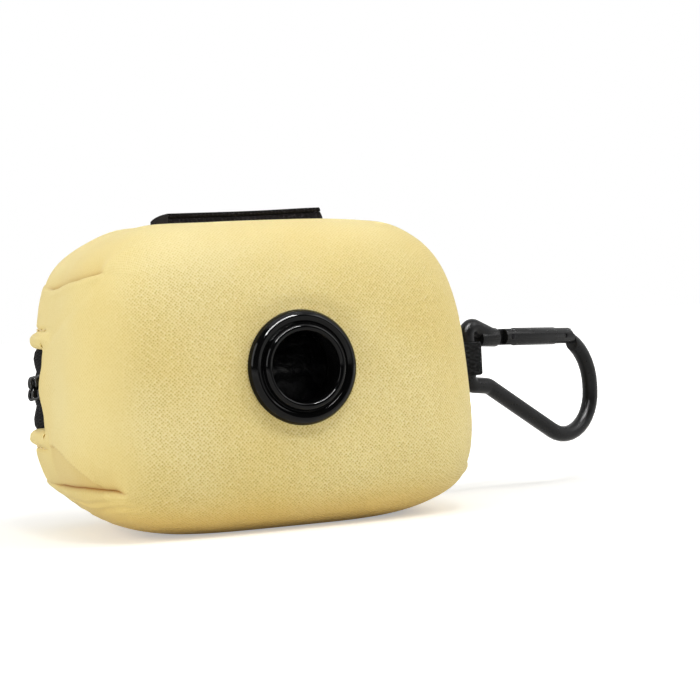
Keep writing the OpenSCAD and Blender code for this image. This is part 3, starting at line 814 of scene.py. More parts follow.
# Tilts of the rows from the base to the crown, closest together at the seams and hems of the outer skin.
def coverRows(outside):
    low, high, lower, upper = (coverTilts[key] for key in ("low", "high", "Lower", "Upper"))
    pole = math.pi / 2

    def spacing(t):
        if not outside:
            return np.radians(np.where((t > low) & (t < high), cover["plainTilt"], cover["coarseTilt"]))
        nearDart = np.minimum(np.abs(t - lower), np.abs(t - upper)) < 0.12
        nearHem = ((t > lower) & (t < low)) | ((t > high) & (t < high + 0.15))
        plain = np.where(nearHem, cover["hemTilt"], cover["plainTilt"])
        return np.radians(np.where(nearDart, cover["fineTilt"], plain))

    stops = [lower, low, 0.0, high, upper] if outside else [low, 0.0, high]
    below = spaced([-pole, stops[0]], spacing)[1:-1]
    above = spaced([stops[-1], pole], spacing)[1:-1]
    return np.r_[below, spaced(stops, spacing), above]


# Rows slide up or down so that the two dart rows lie on the seams, most at the seam and less away from it.
def bentTilts(turns, tilts):
    tilt = np.repeat(tilts[:, None], len(turns), 1)
    pole = math.pi / 2
    for end, low, high in (("Upper", coverTilts["high"], pole), ("Lower", -pole, coverTilts["low"])):
        rest = coverTilts[end]
        wanted = np.full(len(turns), rest)
        for side, centre in (("left", math.pi), ("right", 0.0)):
            knots, places = darts[side + end][:2]
            near = turnNear(turns, centre)
            inside = (near > knots[0]) & (near < knots[-1])
            wanted = np.where(inside, np.interp(near, knots, places), wanted)
        window = np.where(tilts < rest, (tilts - low) / (rest - low), (high - tilts) / (high - rest))
        tilt = tilt + np.clip(window, 0, 1)[:, None] * (wanted - rest)[None, :]
    return tilt


# Arc length of the quarter curve |x/a|^p + |r/b|^p = 1, by the angle from r towards x.
def arcTable(a, b):
    angle = np.linspace(0, math.pi / 2, 2000)
    x, r = a * rounding(angle) * np.sin(angle), b * rounding(angle) * np.cos(angle)
    return angle, np.r_[0, np.cumsum(np.hypot(np.diff(x), np.diff(r)))]


lengthTable = arcTable(pouch["halfLength"], (pouch["halfDepth"] + pouch["halfHeight"]) / 2)
girthTable = arcTable(pouch["halfHeight"], pouch["halfDepth"])


# Where a point of the cover lies on the cloth it was cut from, in millimetres: along the pouch, and round it.
# Band 0 wraps the base, band 1 the sides and both ends, band 2 the crown, and the darts part them at the ends.
def clothMap(points, band, pastSeam):
    p = pouch["squareness"]
    x, y, rise = points[..., 0], points[..., 1], points[..., 2] - centreZ
    u, v = np.abs(x) / pouch["halfLength"], np.abs(y) / pouch["halfDepth"]
    w = np.abs(rise) / pouch["halfHeight"]
    ring = (v ** p + w ** p) ** (1 / p)
    endMix = 1 - smoothStep(0.72, 0.95, ring)

    def along(r):
        return np.interp(np.arctan2(u, r), *lengthTable)

    def mixed(onSide, onEnd):
        return onSide * (1 - endMix) + onEnd * endMix

    full = lengthTable[1][-1]
    quarter = girthTable[1][-1]
    girth = np.interp(np.arctan2(w, v), *girthTable)
    sideAlong = mixed(along(ring), along(v))
    rightU = np.where(pastSeam, -2 * full - sideAlong, np.where(y < 0, sideAlong, 2 * full - sideAlong))
    sideU = np.where(x < 1e-6, np.where(y < 0, -sideAlong, sideAlong - 2 * full), rightU)
    sideV = mixed(np.sign(rise) * girth, rise)
    capU = np.sign(x) * mixed(along(ring), along(w))
    capV = mixed(np.sign(y) * (quarter - girth), y)
    capV = np.where(band == 2, quarter + capV, -quarter - capV)
    return np.stack([np.where(band == 1, sideU, capU), np.where(band == 1, sideV, capV)], -1)


# Cloth tucked down into the seams, with a crisp lower edge: how far out, how far up, and how much painted shade
# it gets along the seam line and beside it.
def dartRelief(turn, tilt, y):
    rise, slide, shade = np.zeros((3,) + y.shape)
    lineAbove, lineBelow = cover["seamLine"]
    shadow, shadowReach = cover["seamShadow"]
    for name, (knots, places, first, last) in darts.items():
        near = turnNear(turn, math.pi if name.startswith("left") else 0.0)
        line = np.interp(near, knots, places)
        scale = np.linalg.norm(bodyPoint(turn, line + 0.01) - bodyPoint(turn, line - 0.01), axis=-1) / 0.02
        above = (tilt - line) * scale
        fade = smoothStep(first - 0.03, first + 0.05, near) * (1 - smoothStep(last - 0.05, last + 0.03, near))
        fade = fade * (1 - cover["dartEase"] * hump(y, *cover["easeAt"]))
        tuck = np.where(above > 0, np.exp(-np.abs(above) / cover["tuckReach"]),
                        np.exp(-(above / cover["dartWidth"]) ** 2))
        rise += fade * (-cover["dartDepth"] * tuck + cover["edgeRise"] * hump(above, -1.1, 1.2))
        slide += fade * cover["edgeSlide"] * hump(above, -0.5, 0.9)
        dark = np.exp(-np.abs(above) / lineAbove) + shadow * np.exp(-np.abs(above) / shadowReach)
        shade += fade * np.where(above > 0, dark, np.exp(-(above / lineBelow) ** 2))
    return rise, slide, shade


# The front cloth's edge stands over the end flap, with painted shade on the flap beneath it and a painted dark
# line along the edge.
def flapRelief(x, y, z):
    edgeY, edgeZ = np.array(cover["flapEdge"]).T
    over = z - np.interp(y, edgeY, edgeZ)
    span = smoothStep(edgeY[0], edgeY[0] + 0.8, y) * (1 - smoothStep(edgeY[-1] - 2.0, edgeY[-1], y))
    span = span * (x < -30) * (1 - smoothStep(6.0, 9.0, over))
    step = smoothStep(-0.25, 0.25, over) * np.exp(-np.maximum(over, 0) / cover["flapReach"])
    under = smoothStep(0.3, -0.2, over) * np.exp(-np.abs(over) / 5.0)
    shade = cover["flapShadow"] * under + cover["flapLine"] * np.exp(-(over / 0.22) ** 2)
    return cover["flapStep"] * span * step, span * shade


# Rolled lips along the slot with a stitched groove beside them, and the cloth's bend into the slot.
def hemRelief(y, beyond):
    onHem = smoothStep(*cover["hemFrom"], y)
    rise = cover["lip"][0] * hump(beyond, *cover["lip"][1:]) * onHem
    rise -= cover["stitchGroove"][0] * hump(beyond, *cover["stitchGroove"][1:]) * onHem
    run = pouch["gapStart"] - pouch["hemRadius"] + cover["bendReach"]
    bend = np.clip((y + cover["bendReach"]) / run, 0, 1)
    into = (1 - smoothStep(*cover["bendEase"], beyond)) * (y < pouch["gapStart"])
    return rise - cover["bendDepth"] * bend ** 2 * into


# Slack cloth sways a little: slow sines, calm where it is held by the grommet, slot, floor and crown.
def slackRelief(x, y, z, fromHole, beyond):
    sway = (np.sin(0.19 * x + 0.7) * np.sin(0.17 * z + 1.1) + 0.6 * np.sin(0.31 * x + 0.23 * z + 2.0)
            + 0.5 * np.sin(0.27 * y + 0.21 * z + 0.4) + 0.4 * np.sin(0.43 * x - 0.35 * y + 1.3))
    calm = smoothStep(0.0, cover["crownReach"], fromRectangle(x, y, *cover["crownAt"]))
    calm = np.where(z > centreZ + 15.0, calm, 1.0)
    fromSlot = np.hypot(np.maximum(0, pouch["gapStart"] - y), np.maximum(0, beyond))
    calm = calm * smoothStep(*cover["grommetCalm"], fromHole) * smoothStep(0.3, 6.0, z)
    return cover["sway"] * sway * calm * smoothStep(2.0, 7.0, fromSlot)


# Small gathers that fan out below the left lower seam.
def gatherRelief(x, y, z):
    fan = hump(z, 5.4, 4.4) * smoothStep(-25.0, -31.0, x) * (1 - smoothStep(4.0, 14.0, y))
    return cover["wrinkle"] * fan * np.sin(4.6 * (z + 0.06 * y) + 1.5 * np.sin(0.4 * y))


# The cover's outer skin: a grid of rows (tilt) and columns (turn) on the body, moved along its normal.
def shapedSkin(turns, tilt):
    turn = np.repeat(turns[None, :], len(tilt), 0)
    rest = bodyPoint(turn, tilt)
    up = unit(bodyPoint(turn, np.minimum(tilt + 0.01, math.pi / 2)) - bodyPoint(turn, tilt - 0.01))
    x, y, z = np.moveaxis(rest, -1, 0)
    beyond = np.abs(z - zipZ) - gapHalf
    fromHole = np.linalg.norm(rest - grommetSeat, axis=-1)
    rise, slide, shade = dartRelief(turn, tilt, y)
    for line, height, width in cover["creases"]:
        rise += height * np.exp(-(distanceToLine(rest, np.array(line)) / width) ** 2)
    flapRise, flapShade = flapRelief(x, y, z)
    rise += flapRise + hemRelief(y, beyond) + slackRelief(x, y, z, fromHole, beyond) + gatherRelief(x, y, z)
    rise -= cover["grommetDip"][0] * hump(fromHole, *cover["grommetDip"][1:])
    underStrap = 1 - smoothStep(0.0, cover["dipReach"], fromRectangle(x, y, *cover["dipAt"]))
    rise -= cover["strapDip"] * np.where(z > centreZ, underStrap, 0.0)
    offFloor = smoothStep(0.0, 0.6, z)
    rise *= offFloor * (np.abs(tilt) < math.pi / 2 - 1e-6)
    shaped = rest + rise[..., None] * bodyNormal(turn, tilt) + (slide * offFloor)[..., None] * up
    lifted = np.exp(-(np.linalg.norm(rest - np.array(cover["liftAt"]), axis=-1) / cover["liftReach"]) ** 2)
    shaped[..., 2] += cover["lift"] * lifted * (1 - smoothStep(5.0, 10.5, z))
    return shaped, rest, np.clip(shade + flapShade, 0, 1)


# How far the lower hem hangs down round the left end.
def hemDrop(place):
    onEnd = smoothStep(-28.0, -36.0, place[..., 0]) * smoothStep(-6.0, 3.0, place[..., 1])
    return cover["hemDip"] * onEnd * hump(place[..., 2], pouch["gapLow"], cover["hemDipReach"])


# The left border of the slot bows: the front cloth reaches further round the end at the belt than at the base.
def bowed(points):
    knotsZ, knotsY = throughPoints(cover["leftBorder"], 10).T
    near = hump(points[..., 1], pouch["gapStart"] - pouch["hemRadius"], cover["borderReach"])
    moved = points.copy()
    moved[..., 1] += (points[..., 0] < -30) * near * np.interp(points[..., 2], knotsZ, knotsY)
    moved[..., 2] -= hemDrop(points)
    return moved


# The slot's rim turns from the outer skin to the inner one in a flattened half circle:
# point = centre + (outer - centre) * cos(a) ^ rimPower + towards the slot * radius * sin(a) ^ rimPower,
# for a from 0 to 180 degrees, and the power keeps the sign of the cosine.
def rimStrip(outer, inner, towards):
    centre = (outer + inner) / 2
    a = np.linspace(0, math.pi, cover["rimSteps"] + 1)[:, None, None]
    out = np.sign(np.cos(a)) * np.abs(np.cos(a)) ** cover["rimPower"]
    return centre + (outer - centre) * out + towards * pouch["hemRadius"] * np.sin(a) ** cover["rimPower"]


# One skin of the cover without its slot, closed by a fan at each pole. It gives the points and faces,
# the cloth map of each face's corners, the points round the slot, and where those lie in the grid.
def coverSkin(turns, rows, skin, rest, slotEnds, inset=0.0, topDip=0.0):
    columns = len(turns)
    right, left = slotEnds
    low, high = (np.argmin(np.abs(rows - coverTilts[side])) for side in ("low", "high"))
    lower, upper = (np.searchsorted(rows, coverTilts[side] - 1e-6) for side in ("Lower", "Upper"))
    quads = gridFaces(len(rows), columns, closeColumns=True)
    row, column = np.divmod(quads[:, 0], columns)
    kept = ~((row >= low) & (row < high) & (column >= right) & (column < left))
    quads, row, column = quads[kept], row[kept], column[kept]
    band = np.where(row < lower, 0, np.where(row < upper, 1, 2))[:, None]
    pastSeam = (turns[column] < math.pi / 2)[:, None]
    flat = rest.reshape(-1, 3)
    maps = [clothMap(flat[quads], band, pastSeam).reshape(-1, 2)]
    reach = pouch["halfHeight"] - inset
    poles = leaned(np.zeros(2), np.zeros(2), np.array([-min(reach, centreZ - inset), reach - topDip]))
    j = np.arange(columns)
    fans = []
    for k, ring, capBand in ((0, 0, 0), (1, len(rows) - 1, 2)):
        rim = np.stack([ring * columns + j, ring * columns + (j + 1) % columns], 1)
        fans.append(np.column_stack([np.full(columns, len(flat) + k), rim]))
        corners = np.concatenate([np.broadcast_to(poles[k], (columns, 1, 3)), flat[rim]], 1)
        maps.append(clothMap(corners, capBand, False).reshape(-1, 2))
    faces = quads.tolist() + np.concatenate(fans).tolist()
    loop = ([(low, j) for j in range(right, left)] + [(i, left) for i in range(low, high)]
            + [(high, j) for j in range(left, right, -1)] + [(i, right) for i in range(high, low, -1)])
    i, j = np.array(loop).T
    return np.concatenate([skin.reshape(-1, 3), poles]), faces, np.concatenate(maps), (i, j, low, high)


# The cover is an outer skin and an inner one, joined by the rim round the slot.
def makeCover():
    turns = coverColumns()
    right, left = (np.argmin(np.abs(turns - coverTurns[side])) for side in ("right", "left"))
    rows, innerRows = coverRows(True), coverRows(False)
    skin, rest, shade = shapedSkin(turns, bentTilts(turns, rows))
    inside = bodyPoint(*np.meshgrid(turns, innerRows), pouch["wall"])
    outer, faces, maps, (i, j, low, high) = coverSkin(turns, rows, skin, rest, (right, left),
                                                      topDip=cover["strapDip"])
    inner, innerFaces, innerMaps, (innerI, innerJ, _, _) = coverSkin(turns, innerRows, inside, inside,
                                                                     (right, left), inset=pouch["wall"])
    upSign = np.where(i == low, 1, np.where(i == high, -1, 0))[:, None]
    sideSign = np.where(j == right, 1, np.where(j == left, -1, 0))[:, None]
    upward = unit(np.roll(rest, -1, 0) - rest)[i, j] * upSign
    sideways = unit(np.roll(rest, -1, 1) - rest)[i, j] * sideSign
    rim = rimStrip(skin[i, j], inside[innerI, innerJ], unit(upward + sideways))[1:-1]
    columns, count = len(turns), len(i)
    start = len(outer) + len(inner)
    between = start + np.arange(len(rim) * count).reshape(-1, count)
    innerLoop = len(outer) + innerI * columns + innerJ
    ladder = np.concatenate([(i * columns + j)[None], between, innerLoop[None]])
    strips = gridFaces(len(ladder), count, closeColumns=True)
    rimMap = clothMap(rest[i, j], 1, True)[None] + np.linspace(0, 4.0, len(ladder))[:, None, None]
    points = np.concatenate([outer, inner, rim.reshape(-1, 3)])
    lined = [0] * len(faces) + [1] * len(innerFaces) + [0] * len(strips)
    faces = faces + [[k + len(outer) for k in face] for face in innerFaces] + ladder.ravel()[strips].tolist()
    maps = np.concatenate([maps, innerMaps, rimMap.reshape(-1, 2)[strips].reshape(-1, 2)])
    shade = np.r_[shade.ravel(), np.zeros(len(points) - shade.size)]
    piece = putMesh("neopreneCover", bowed(points), faces, cornerUv=maps, shade=shade)
    piece.data.polygons.foreach_set("material_index", lined)
    return sealNormals(piece)


def cutBy(piece, name, points, faces):
    tool = sealNormals(putMesh(name, points, faces))
    cut = piece.modifiers.new(name, "BOOLEAN")
    cut.object = tool
    cut.operation = "DIFFERENCE"
    cut.solver = "EXACT"
    applyModifiers(piece)
    bpy.data.objects.remove(tool)


# A cylinder along an axis, from low to high beside its centre. Its points start at an odd angle,
# so that no edge of it lies on an edge of the skin that it cuts.
def drum(centre, axis, radius, low, high, sides=96):
    ring = centre + radius * spokes(axis, (np.arange(sides) + 0.37) * tau / sides)
    return np.concatenate([ring + axis * low, ring + axis * high]), tubeFaces(2, sides)


# A block between two heights and depths, long enough to go through the right end.
def slit(centre, half):
    y = (centre[1] - half[0], centre[1] + half[0])
    z = (centre[2] - half[1], centre[2] + half[1])
    points = np.stack(np.meshgrid((33.0, 42.0), y, z, indexing="ij"), -1).reshape(-1, 3)
    return points, [[0, 1, 3, 2], [4, 6, 7, 5], [0, 4, 5, 1], [2, 3, 7, 6], [0, 2, 6, 4], [1, 5, 7, 3]]


grommetTilt = math.radians(pouch["grommetTilt"])
grommetAxis = np.array([0.0, -math.cos(grommetTilt), math.sin(grommetTilt)])
coverPiece = makeCover()
print("cover skin", len(coverPiece.data.polygons))
dress(coverPiece, neoprene, lining)
cutBy(coverPiece, "grommetHole", *drum(grommetSeat, grommetAxis, pouch["grommetHole"], -5.0, 4.0))
cutBy(coverPiece, "tabSlit", *slit(pouch["tabAt"], pouch["slitHalf"]))
smoothByAngle(coverPiece, 60)
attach(coverPiece, "pouch")
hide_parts("neoprene_panel")
print("cover", len(coverPiece.data.polygons))


# The zipper follows the belt round the back and the left end: two tapes with a coil on each, in millimetres.
zipper = {
    "coilStart": 23.0,          # x on the back
    "coilEnd": (6.2, 24.0),     # y on the left end, and the half depth there
    "coilPitch": 1.3,
    "coilWire": 0.27,
    "coilSides": 7,
    "loopSteps": 14,
    "coilNear": 0.36,
    "coilFar": 2.35,
    "interlock": 0.55,
    "coilOuter": 1.39,
    "coilInner": 2.64,
    "chainInset": 2.0,
    "tapeInset": 2.72,
    "tapeThick": 0.55,
    "tapeNear": 0.45,
    "tapeFar": 9.9,
    "tapeEnd": (3.6, 23.4),     # y and half depth where a tape goes under the cloth
    "tapeStep": 0.8,
    "ripple": 0.12,
    "bulge": 3.0,
    "bulgeRise": (math.radians(124), math.radians(141)),
    "bulgeFall": (math.radians(160), math.radians(149)),
    "bulgeAcross": [(0.0, 0.9), (2.4, 0.9), (3.2, 0.83), (4.2, 0.92), (5.6, 1.0), (6.8, 0.95), (7.7, 0.8),
                    (8.4, 0.4), (9.2, 0.0), (12, 0.0)],
    "sag": 0.75,
}


# 1 where the chain bulges at the left rear corner, by one smooth step of the turn up and one down.
def bulgeShare(turn):
    return smoothStep(*zipper["bulgeRise"], turn) * smoothStep(*zipper["bulgeFall"], turn)


# How far the chain stands out: bulge * its share by the turn * its share by the distance from the middle.
def zipBulge(turn, across):
    knots, shares = np.array(zipper["bulgeAcross"]).T
    return zipper["bulge"] * bulgeShare(turn) * np.interp(across, knots, shares)


# Many turns from one to another, and the length along the zipper up to each.
def beltRun(first, last):
    fine = np.linspace(first, last, 4000)
    return fine, runLength(beltPoint(fine, zipZ, zipper["chainInset"]))


# Turns at even steps of length along the belt, from one turn to another.
def evenTurns(first, last, step):
    fine, length = beltRun(first, last)
    count = max(2, int(round(length[-1] / step)))
    return np.interp(np.linspace(0, length[-1], count + 1), length, fine), length[-1]


# A tape is a closed strip: its outer face, then its inner one, with small waves along the coil.
def makeTape(name, side):
    first = math.atan(zipper["tapeEnd"][0] / zipper["tapeEnd"][1])
    turns, length = evenTurns(first, math.pi - first, zipper["tapeStep"])
    across = np.r_[np.linspace(zipper["tapeNear"], 7.4, 24), np.linspace(7.8, zipper["tapeFar"], 6)]
    turn, s = np.meshgrid(turns, across, indexing="ij")
    along = np.linspace(0, length, len(turns))[:, None]
    z = zipZ + side * s - zipper["sag"] * bulgeShare(turn)
    ripple = zipper["ripple"] * np.sin(along * 1.9 + side) * hump(s, 4.9, 2.4) * bulgeShare(turn)
    inset = zipper["tapeInset"] - zipBulge(turn, s) - ripple
    outer, inner = beltPoint(turn, z, inset), beltPoint(turn, z, inset + zipper["tapeThick"])
    ring = np.concatenate([outer, inner[:, ::-1]], 1)
    uv = np.stack(np.broadcast_arrays(along, np.r_[across, across[::-1]][None, :]), -1).reshape(-1, 2)
    return sealNormals(putMesh(name, ring.reshape(-1, 3), tubeFaces(*ring.shape[:2]), uv=uv))


# One row of the coil: a wire wound in flat loops, each loop one pitch further along the tape.
def makeCoil(name, side):
    turnAtStart = math.pi / 2 - math.atan(zipper["coilStart"] / (pouch["halfLength"] - zipper["chainInset"]))
    fine, run = beltRun(turnAtStart, math.pi - math.atan(zipper["coilEnd"][0] / zipper["coilEnd"][1]))
    loops = int(run[-1] / zipper["coilPitch"])
    angle = np.linspace(0, loops * tau, loops * zipper["loopSteps"] + 1)
    start = 0.5 if side > 0 else 0.0
    drift = (angle / tau + 0.12 * np.sin(2 * angle) + start) * zipper["coilPitch"]
    turn = np.interp(np.clip(drift, 0, run[-1]), run, fine)
    bulged = bulgeShare(turn)
    near = zipper["coilNear"] - zipper["interlock"] * bulged
    wide = (zipper["coilFar"] - near) / 2 - zipper["coilWire"]
    deep = (zipper["coilInner"] - zipper["coilOuter"]) / 2 - zipper["coilWire"]
    s = (near + zipper["coilFar"]) / 2 + wide * np.cos(angle)
    inset = (zipper["coilInner"] + zipper["coilOuter"]) / 2 + deep * np.sin(angle) - zipBulge(turn, 0.0)
    path = beltPoint(turn, zipZ + side * s - zipper["sag"] * bulged, inset)
    tangent = unit(np.gradient(path, axis=0))
    onward = beltPoint(turn + 1e-3, zipZ, zipper["chainInset"]) - beltPoint(turn, zipZ, zipper["chainInset"])
    outward = unit(np.cross(tangent, onward))
    section = circle(zipper["coilWire"], zipper["coilSides"])
    points, faces, uv = carryProfile(path, outward, np.cross(tangent, outward), section)
    return sealNormals(putMesh(name, points, faces, uv=uv))


zipFaces = 0
for make, kind, material in ((makeTape, "Tape", tapeCloth), (makeCoil, "Coil", coilNylon)):
    slotName = "zipper_" + kind.lower()
    for edge, side in (("upper", 1), ("lower", -1)):
        piece = make(edge + kind, side)
        settle(piece, "pouch", slotName + "_" + edge, material)
        zipFaces += len(piece.data.polygons)
print("zipper", zipFaces)


# Topstitching along both hems, each stitch a short wire whose ends turn down into the cloth.
threads = {
    "stitch": 2.3,
    "gap": 0.55,
    "wire": 0.15,
    "sides": 6,
    "raised": 0.08,
    "zigzag": 0.45,
    "endDip": 1.2,
    "stopShort": 0.06,
}


def makeStitches():
    first = math.atan((pouch["gapStart"] - 3.0) / pouch["halfDepth"])
    pitch = threads["stitch"] + threads["gap"]
    turns, _ = evenTurns(first, math.pi - first - threads["stopShort"], pitch)
    t = np.linspace(0, 1, 7)
    grooveDepth, fromEdge, _ = cover["stitchGroove"]
    inset = grooveDepth - threads["wire"] - threads["raised"] + threads["endDip"] * (2 * t - 1) ** 8
    points, faces, uv, start = [], [], [], 0
    for side in (1, -1):
        z = zipZ + side * (gapHalf + fromEdge)
        for k in range(len(turns) - 1):
            turn = turns[k] + (turns[k + 1] - turns[k]) * (0.5 + threads["stitch"] / pitch * (t - 0.5))
            slant = threads["zigzag"] * (t - 0.5) * (1 if k % 2 else -1)
            height = z - hemDrop(beltPoint(turn, np.full_like(turn, z), 0.0)) + slant
            path = beltPoint(turn, height, inset)
            along = unit(np.gradient(path, axis=0))
            out = unit(beltPoint(turn, height, inset - 0.5) - path)
            section = circle(threads["wire"], threads["sides"])
            wire, wireFaces, wireMap = carryProfile(path, np.cross(along, out), out, section)
            points.append(wire)
            faces.extend([[i + start for i in face] for face in wireFaces])
            uv.append(wireMap)
            start += len(wire)
    return sealNormals(putMesh("hemStitches", np.concatenate(points), faces, uv=np.concatenate(uv)))


stitches = makeStitches()
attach(stitches, "pouch")
dress(stitches, paleThread)
print("stitches", len(stitches.data.polygons))


# The grommet is turned: a profile of (radius, height) spun about the hole's axis.
grommet = {
    "bore": 6.25,
    "barrel": 6.95,
    "barrelEnd": -4.15,
    "lipRadius": 0.65,
    "lipHeight": 1.9,
    "groove": [(7.8, 1.4), (8.2, 1.68)],
    "crest": [(8.9, 1.88), (9.3, 1.72), (9.78, 1.28), (10.08, 0.72)],
    "outer": 10.2,
    "seat": 0.06,
    "sides": 160,
}


def makeGrommet():
    g = grommet
    lip = (g["bore"] + g["lipRadius"], g["lipHeight"])
    inner = arcOf(lip, g["lipRadius"], 180, 25, 12)
    rim = (g["outer"], g["seat"] + 0.25)
    dome = throughPoints([inner[-1] + (0.12, -0.22), *g["groove"], *g["crest"], rim], 6)
    under = [(g["outer"] - 0.05, g["seat"]), (g["barrel"] + 0.1, g["seat"]), (g["barrel"], -0.2)]
    rolled = arcOf((g["barrel"], g["barrelEnd"]), g["lipRadius"], 0, -165, 12)
    bore = [(g["bore"], g["barrelEnd"] + 0.1), (g["bore"], -2.0), (g["bore"], 0.8)]
    radius, height = np.concatenate([inner, dome, under, rolled, bore]).T[..., None, None]
    ring = spokes(grommetAxis, np.arange(g["sides"]) * tau / g["sides"])
    points = grommetSeat + radius * ring + height * grommetAxis
    faces = gridFaces(len(radius), g["sides"], closeColumns=True, closeRows=True)
    return sealNormals(putMesh("grommetRing", points.reshape(-1, 3), faces))


grommetPiece = makeGrommet()
smoothByAngle(grommetPiece, 50)
settle(grommetPiece, "pouch", "grommet_flange", grommetGloss)
print("grommet", len(grommetPiece.data.polygons))


# The webbing of the end tab runs straight out of the seam, round the carabiner's bar in an arc, and back.
tab = {
    "width": 6.6,
    "thick": 1.0,
    "edge": 0.42,
    "loopRadius": 2.4,
    "legRun": 7.3,
    "tail": 4.6,
    "apart": 0.56,
}


def makeTab():
    lean = math.asin((tab["loopRadius"] - tab["apart"]) / tab["legRun"])
    around = np.radians(np.linspace(90, -90, 25)) * (1 + 2 * lean / math.pi)
    arc = tab["loopRadius"] * np.stack([np.cos(around), np.sin(around)], 1)
    foot = np.array([-tab["legRun"], tab["apart"]])
    end = foot - (tab["tail"], 0.0)
    leg = foot + np.linspace(0, 1, 7)[:, None] * (arc[0] - foot)
    tail = end + np.linspace(0, 1, 5)[:, None] * (foot - end)
    half = np.concatenate([tail[:-1], leg[:-1]])
    flat = np.concatenate([half, arc, (half * (1, -1))[::-1]])
    path = np.column_stack([flat, np.zeros(len(flat))]) + pouch["tabAt"]
    up = np.tile([0.0, 0.0, 1.0], (len(path), 1))
    section = roundedRectangle(tab["thick"], tab["width"], tab["edge"], 6)
    points, faces, uv = carryProfile(path, np.cross(unit(np.gradient(path, axis=0)), up), up, section)
    return sealNormals(putMesh("endWebbing", points, faces, uv=uv))


tabPiece = makeTab()
smoothByAngle(tabPiece, 60)
settle(tabPiece, "pouch", "end_tab", webbingCloth)
print("tab", len(tabPiece.data.polygons))


# Each layer of the strap is a tape on the crown: rows across it, each a rounded section.
strap = {
    "left": -13.2,
    "right": 17.8,
    "front": 4.0,
    "back": 19.0,
    "thick": 0.7,
    "apart": 0.12,
    "upperFoot": 0.03,
    "lift": 0.05,
    "slant": (0.28, 1.5),       # how far the right end leans back per height, and where that begins
    "droop": 0.3,
    "spring": 0.3,
    "springFrom": 8.0,
    "sunk": 1.35,
    "flatness": 0.93,
    "corner": 4.5,
    "cornerReach": 9.0,
    "columns": 63,
    "rows": 40,
}


# Height of the crown at (x, y), a little above the skin.
def crownHeight(x, y, lift):
    p = pouch["squareness"]
    leanX, leanY = leans(x)
    u = np.abs(x) * strap["droop"] / (1 - leanX) / (pouch["halfLength"] + lift)
    v = np.abs(y) * strap["flatness"] / (1 - leanY) / (pouch["halfDepth"] + lift)
    return centreZ + (pouch["halfHeight"] + lift) * (1 - u ** p - v ** p) ** (1 / p)


# A layer from one height above the crown to another: its section is a flat tape with half round edges, and its
# right end stands off the crown by spring * smoothStep ^ 2. The hidden back left corner is rounded.
def makeStrapLayer(name, low, high):
    left, right, front, back = (strap[key] for key in ("left", "right", "front", "back"))
    half = (high - low) / 2
    edge = 0.6 * half
    y = np.linspace(front + edge, back - edge, strap["rows"])
    bulge, fall = arcOf((0.0, 0.0), 1.0, 90, -90, 7)[1:-1].T
    ringY = np.concatenate([y, y[-1] + edge * bulge, y[::-1], y[0] - edge * bulge[::-1]])
    share = np.concatenate([np.ones(len(y)), fall, -np.ones(len(y)), fall[::-1]])
    height = (low + high) / 2 + half * share
    x, y = np.meshgrid(np.linspace(left, right, strap["columns"]), ringY, indexing="ij")
    springs = strap["spring"] * smoothStep(left + strap["springFrom"], right, x) ** 2
    springs = springs * (1.0 if low > 0 else (1 + share) / 2)
    z = crownHeight(x, y, strap["lift"]) + height + springs
    lean, leanFrom = strap["slant"]
    x = x - lean * height * smoothStep(right - leanFrom, right, x)
    past = np.clip((y - back + strap["corner"]) / strap["corner"], 0, 1)
    turnedIn = strap["corner"] * (1 - np.sqrt(1 - 0.98 * past ** 2))
    x = x + turnedIn * smoothStep(left + strap["cornerReach"], left, x)
    ring = np.stack([x, y, z], -1)
    uv = ring[..., :2].reshape(-1, 2)
    return sealNormals(putMesh(name, ring.reshape(-1, 3), tubeFaces(*x.shape), uv=uv))


layerTop = 2 * strap["thick"] + strap["apart"]
strapBase = makeStrapLayer("strapLower", -strap["sunk"], strap["thick"])
strapFlap = makeStrapLayer("strapUpper", strap["thick"] + strap["upperFoot"], layerTop)
for piece, node, body in ((strapBase, "strap_base", "pouch"), (strapFlap, "strap_flap", "flap")):
    smoothByAngle(piece, 40)
    settle(piece, body, node, strapCloth)
print("strap", len(strapBase.data.polygons) + len(strapFlap.data.polygons))


# The roll of bags: film wound on the core, its windings at both ends, and one loose bag lifted at the front.
roll = {
    "half": 30.0,
    "outer": 16.5,
    "inner": 7.28,
    "z": 22.794,
    "sides": 168,
    "endStep": 1.2,
    "windings": 26,
    "windingDepth": 0.14,
    "crumple": 0.11,
    "looseLift": 1.6,
    "looseFrom": math.radians(150),
    "looseRun": math.radians(70),
}


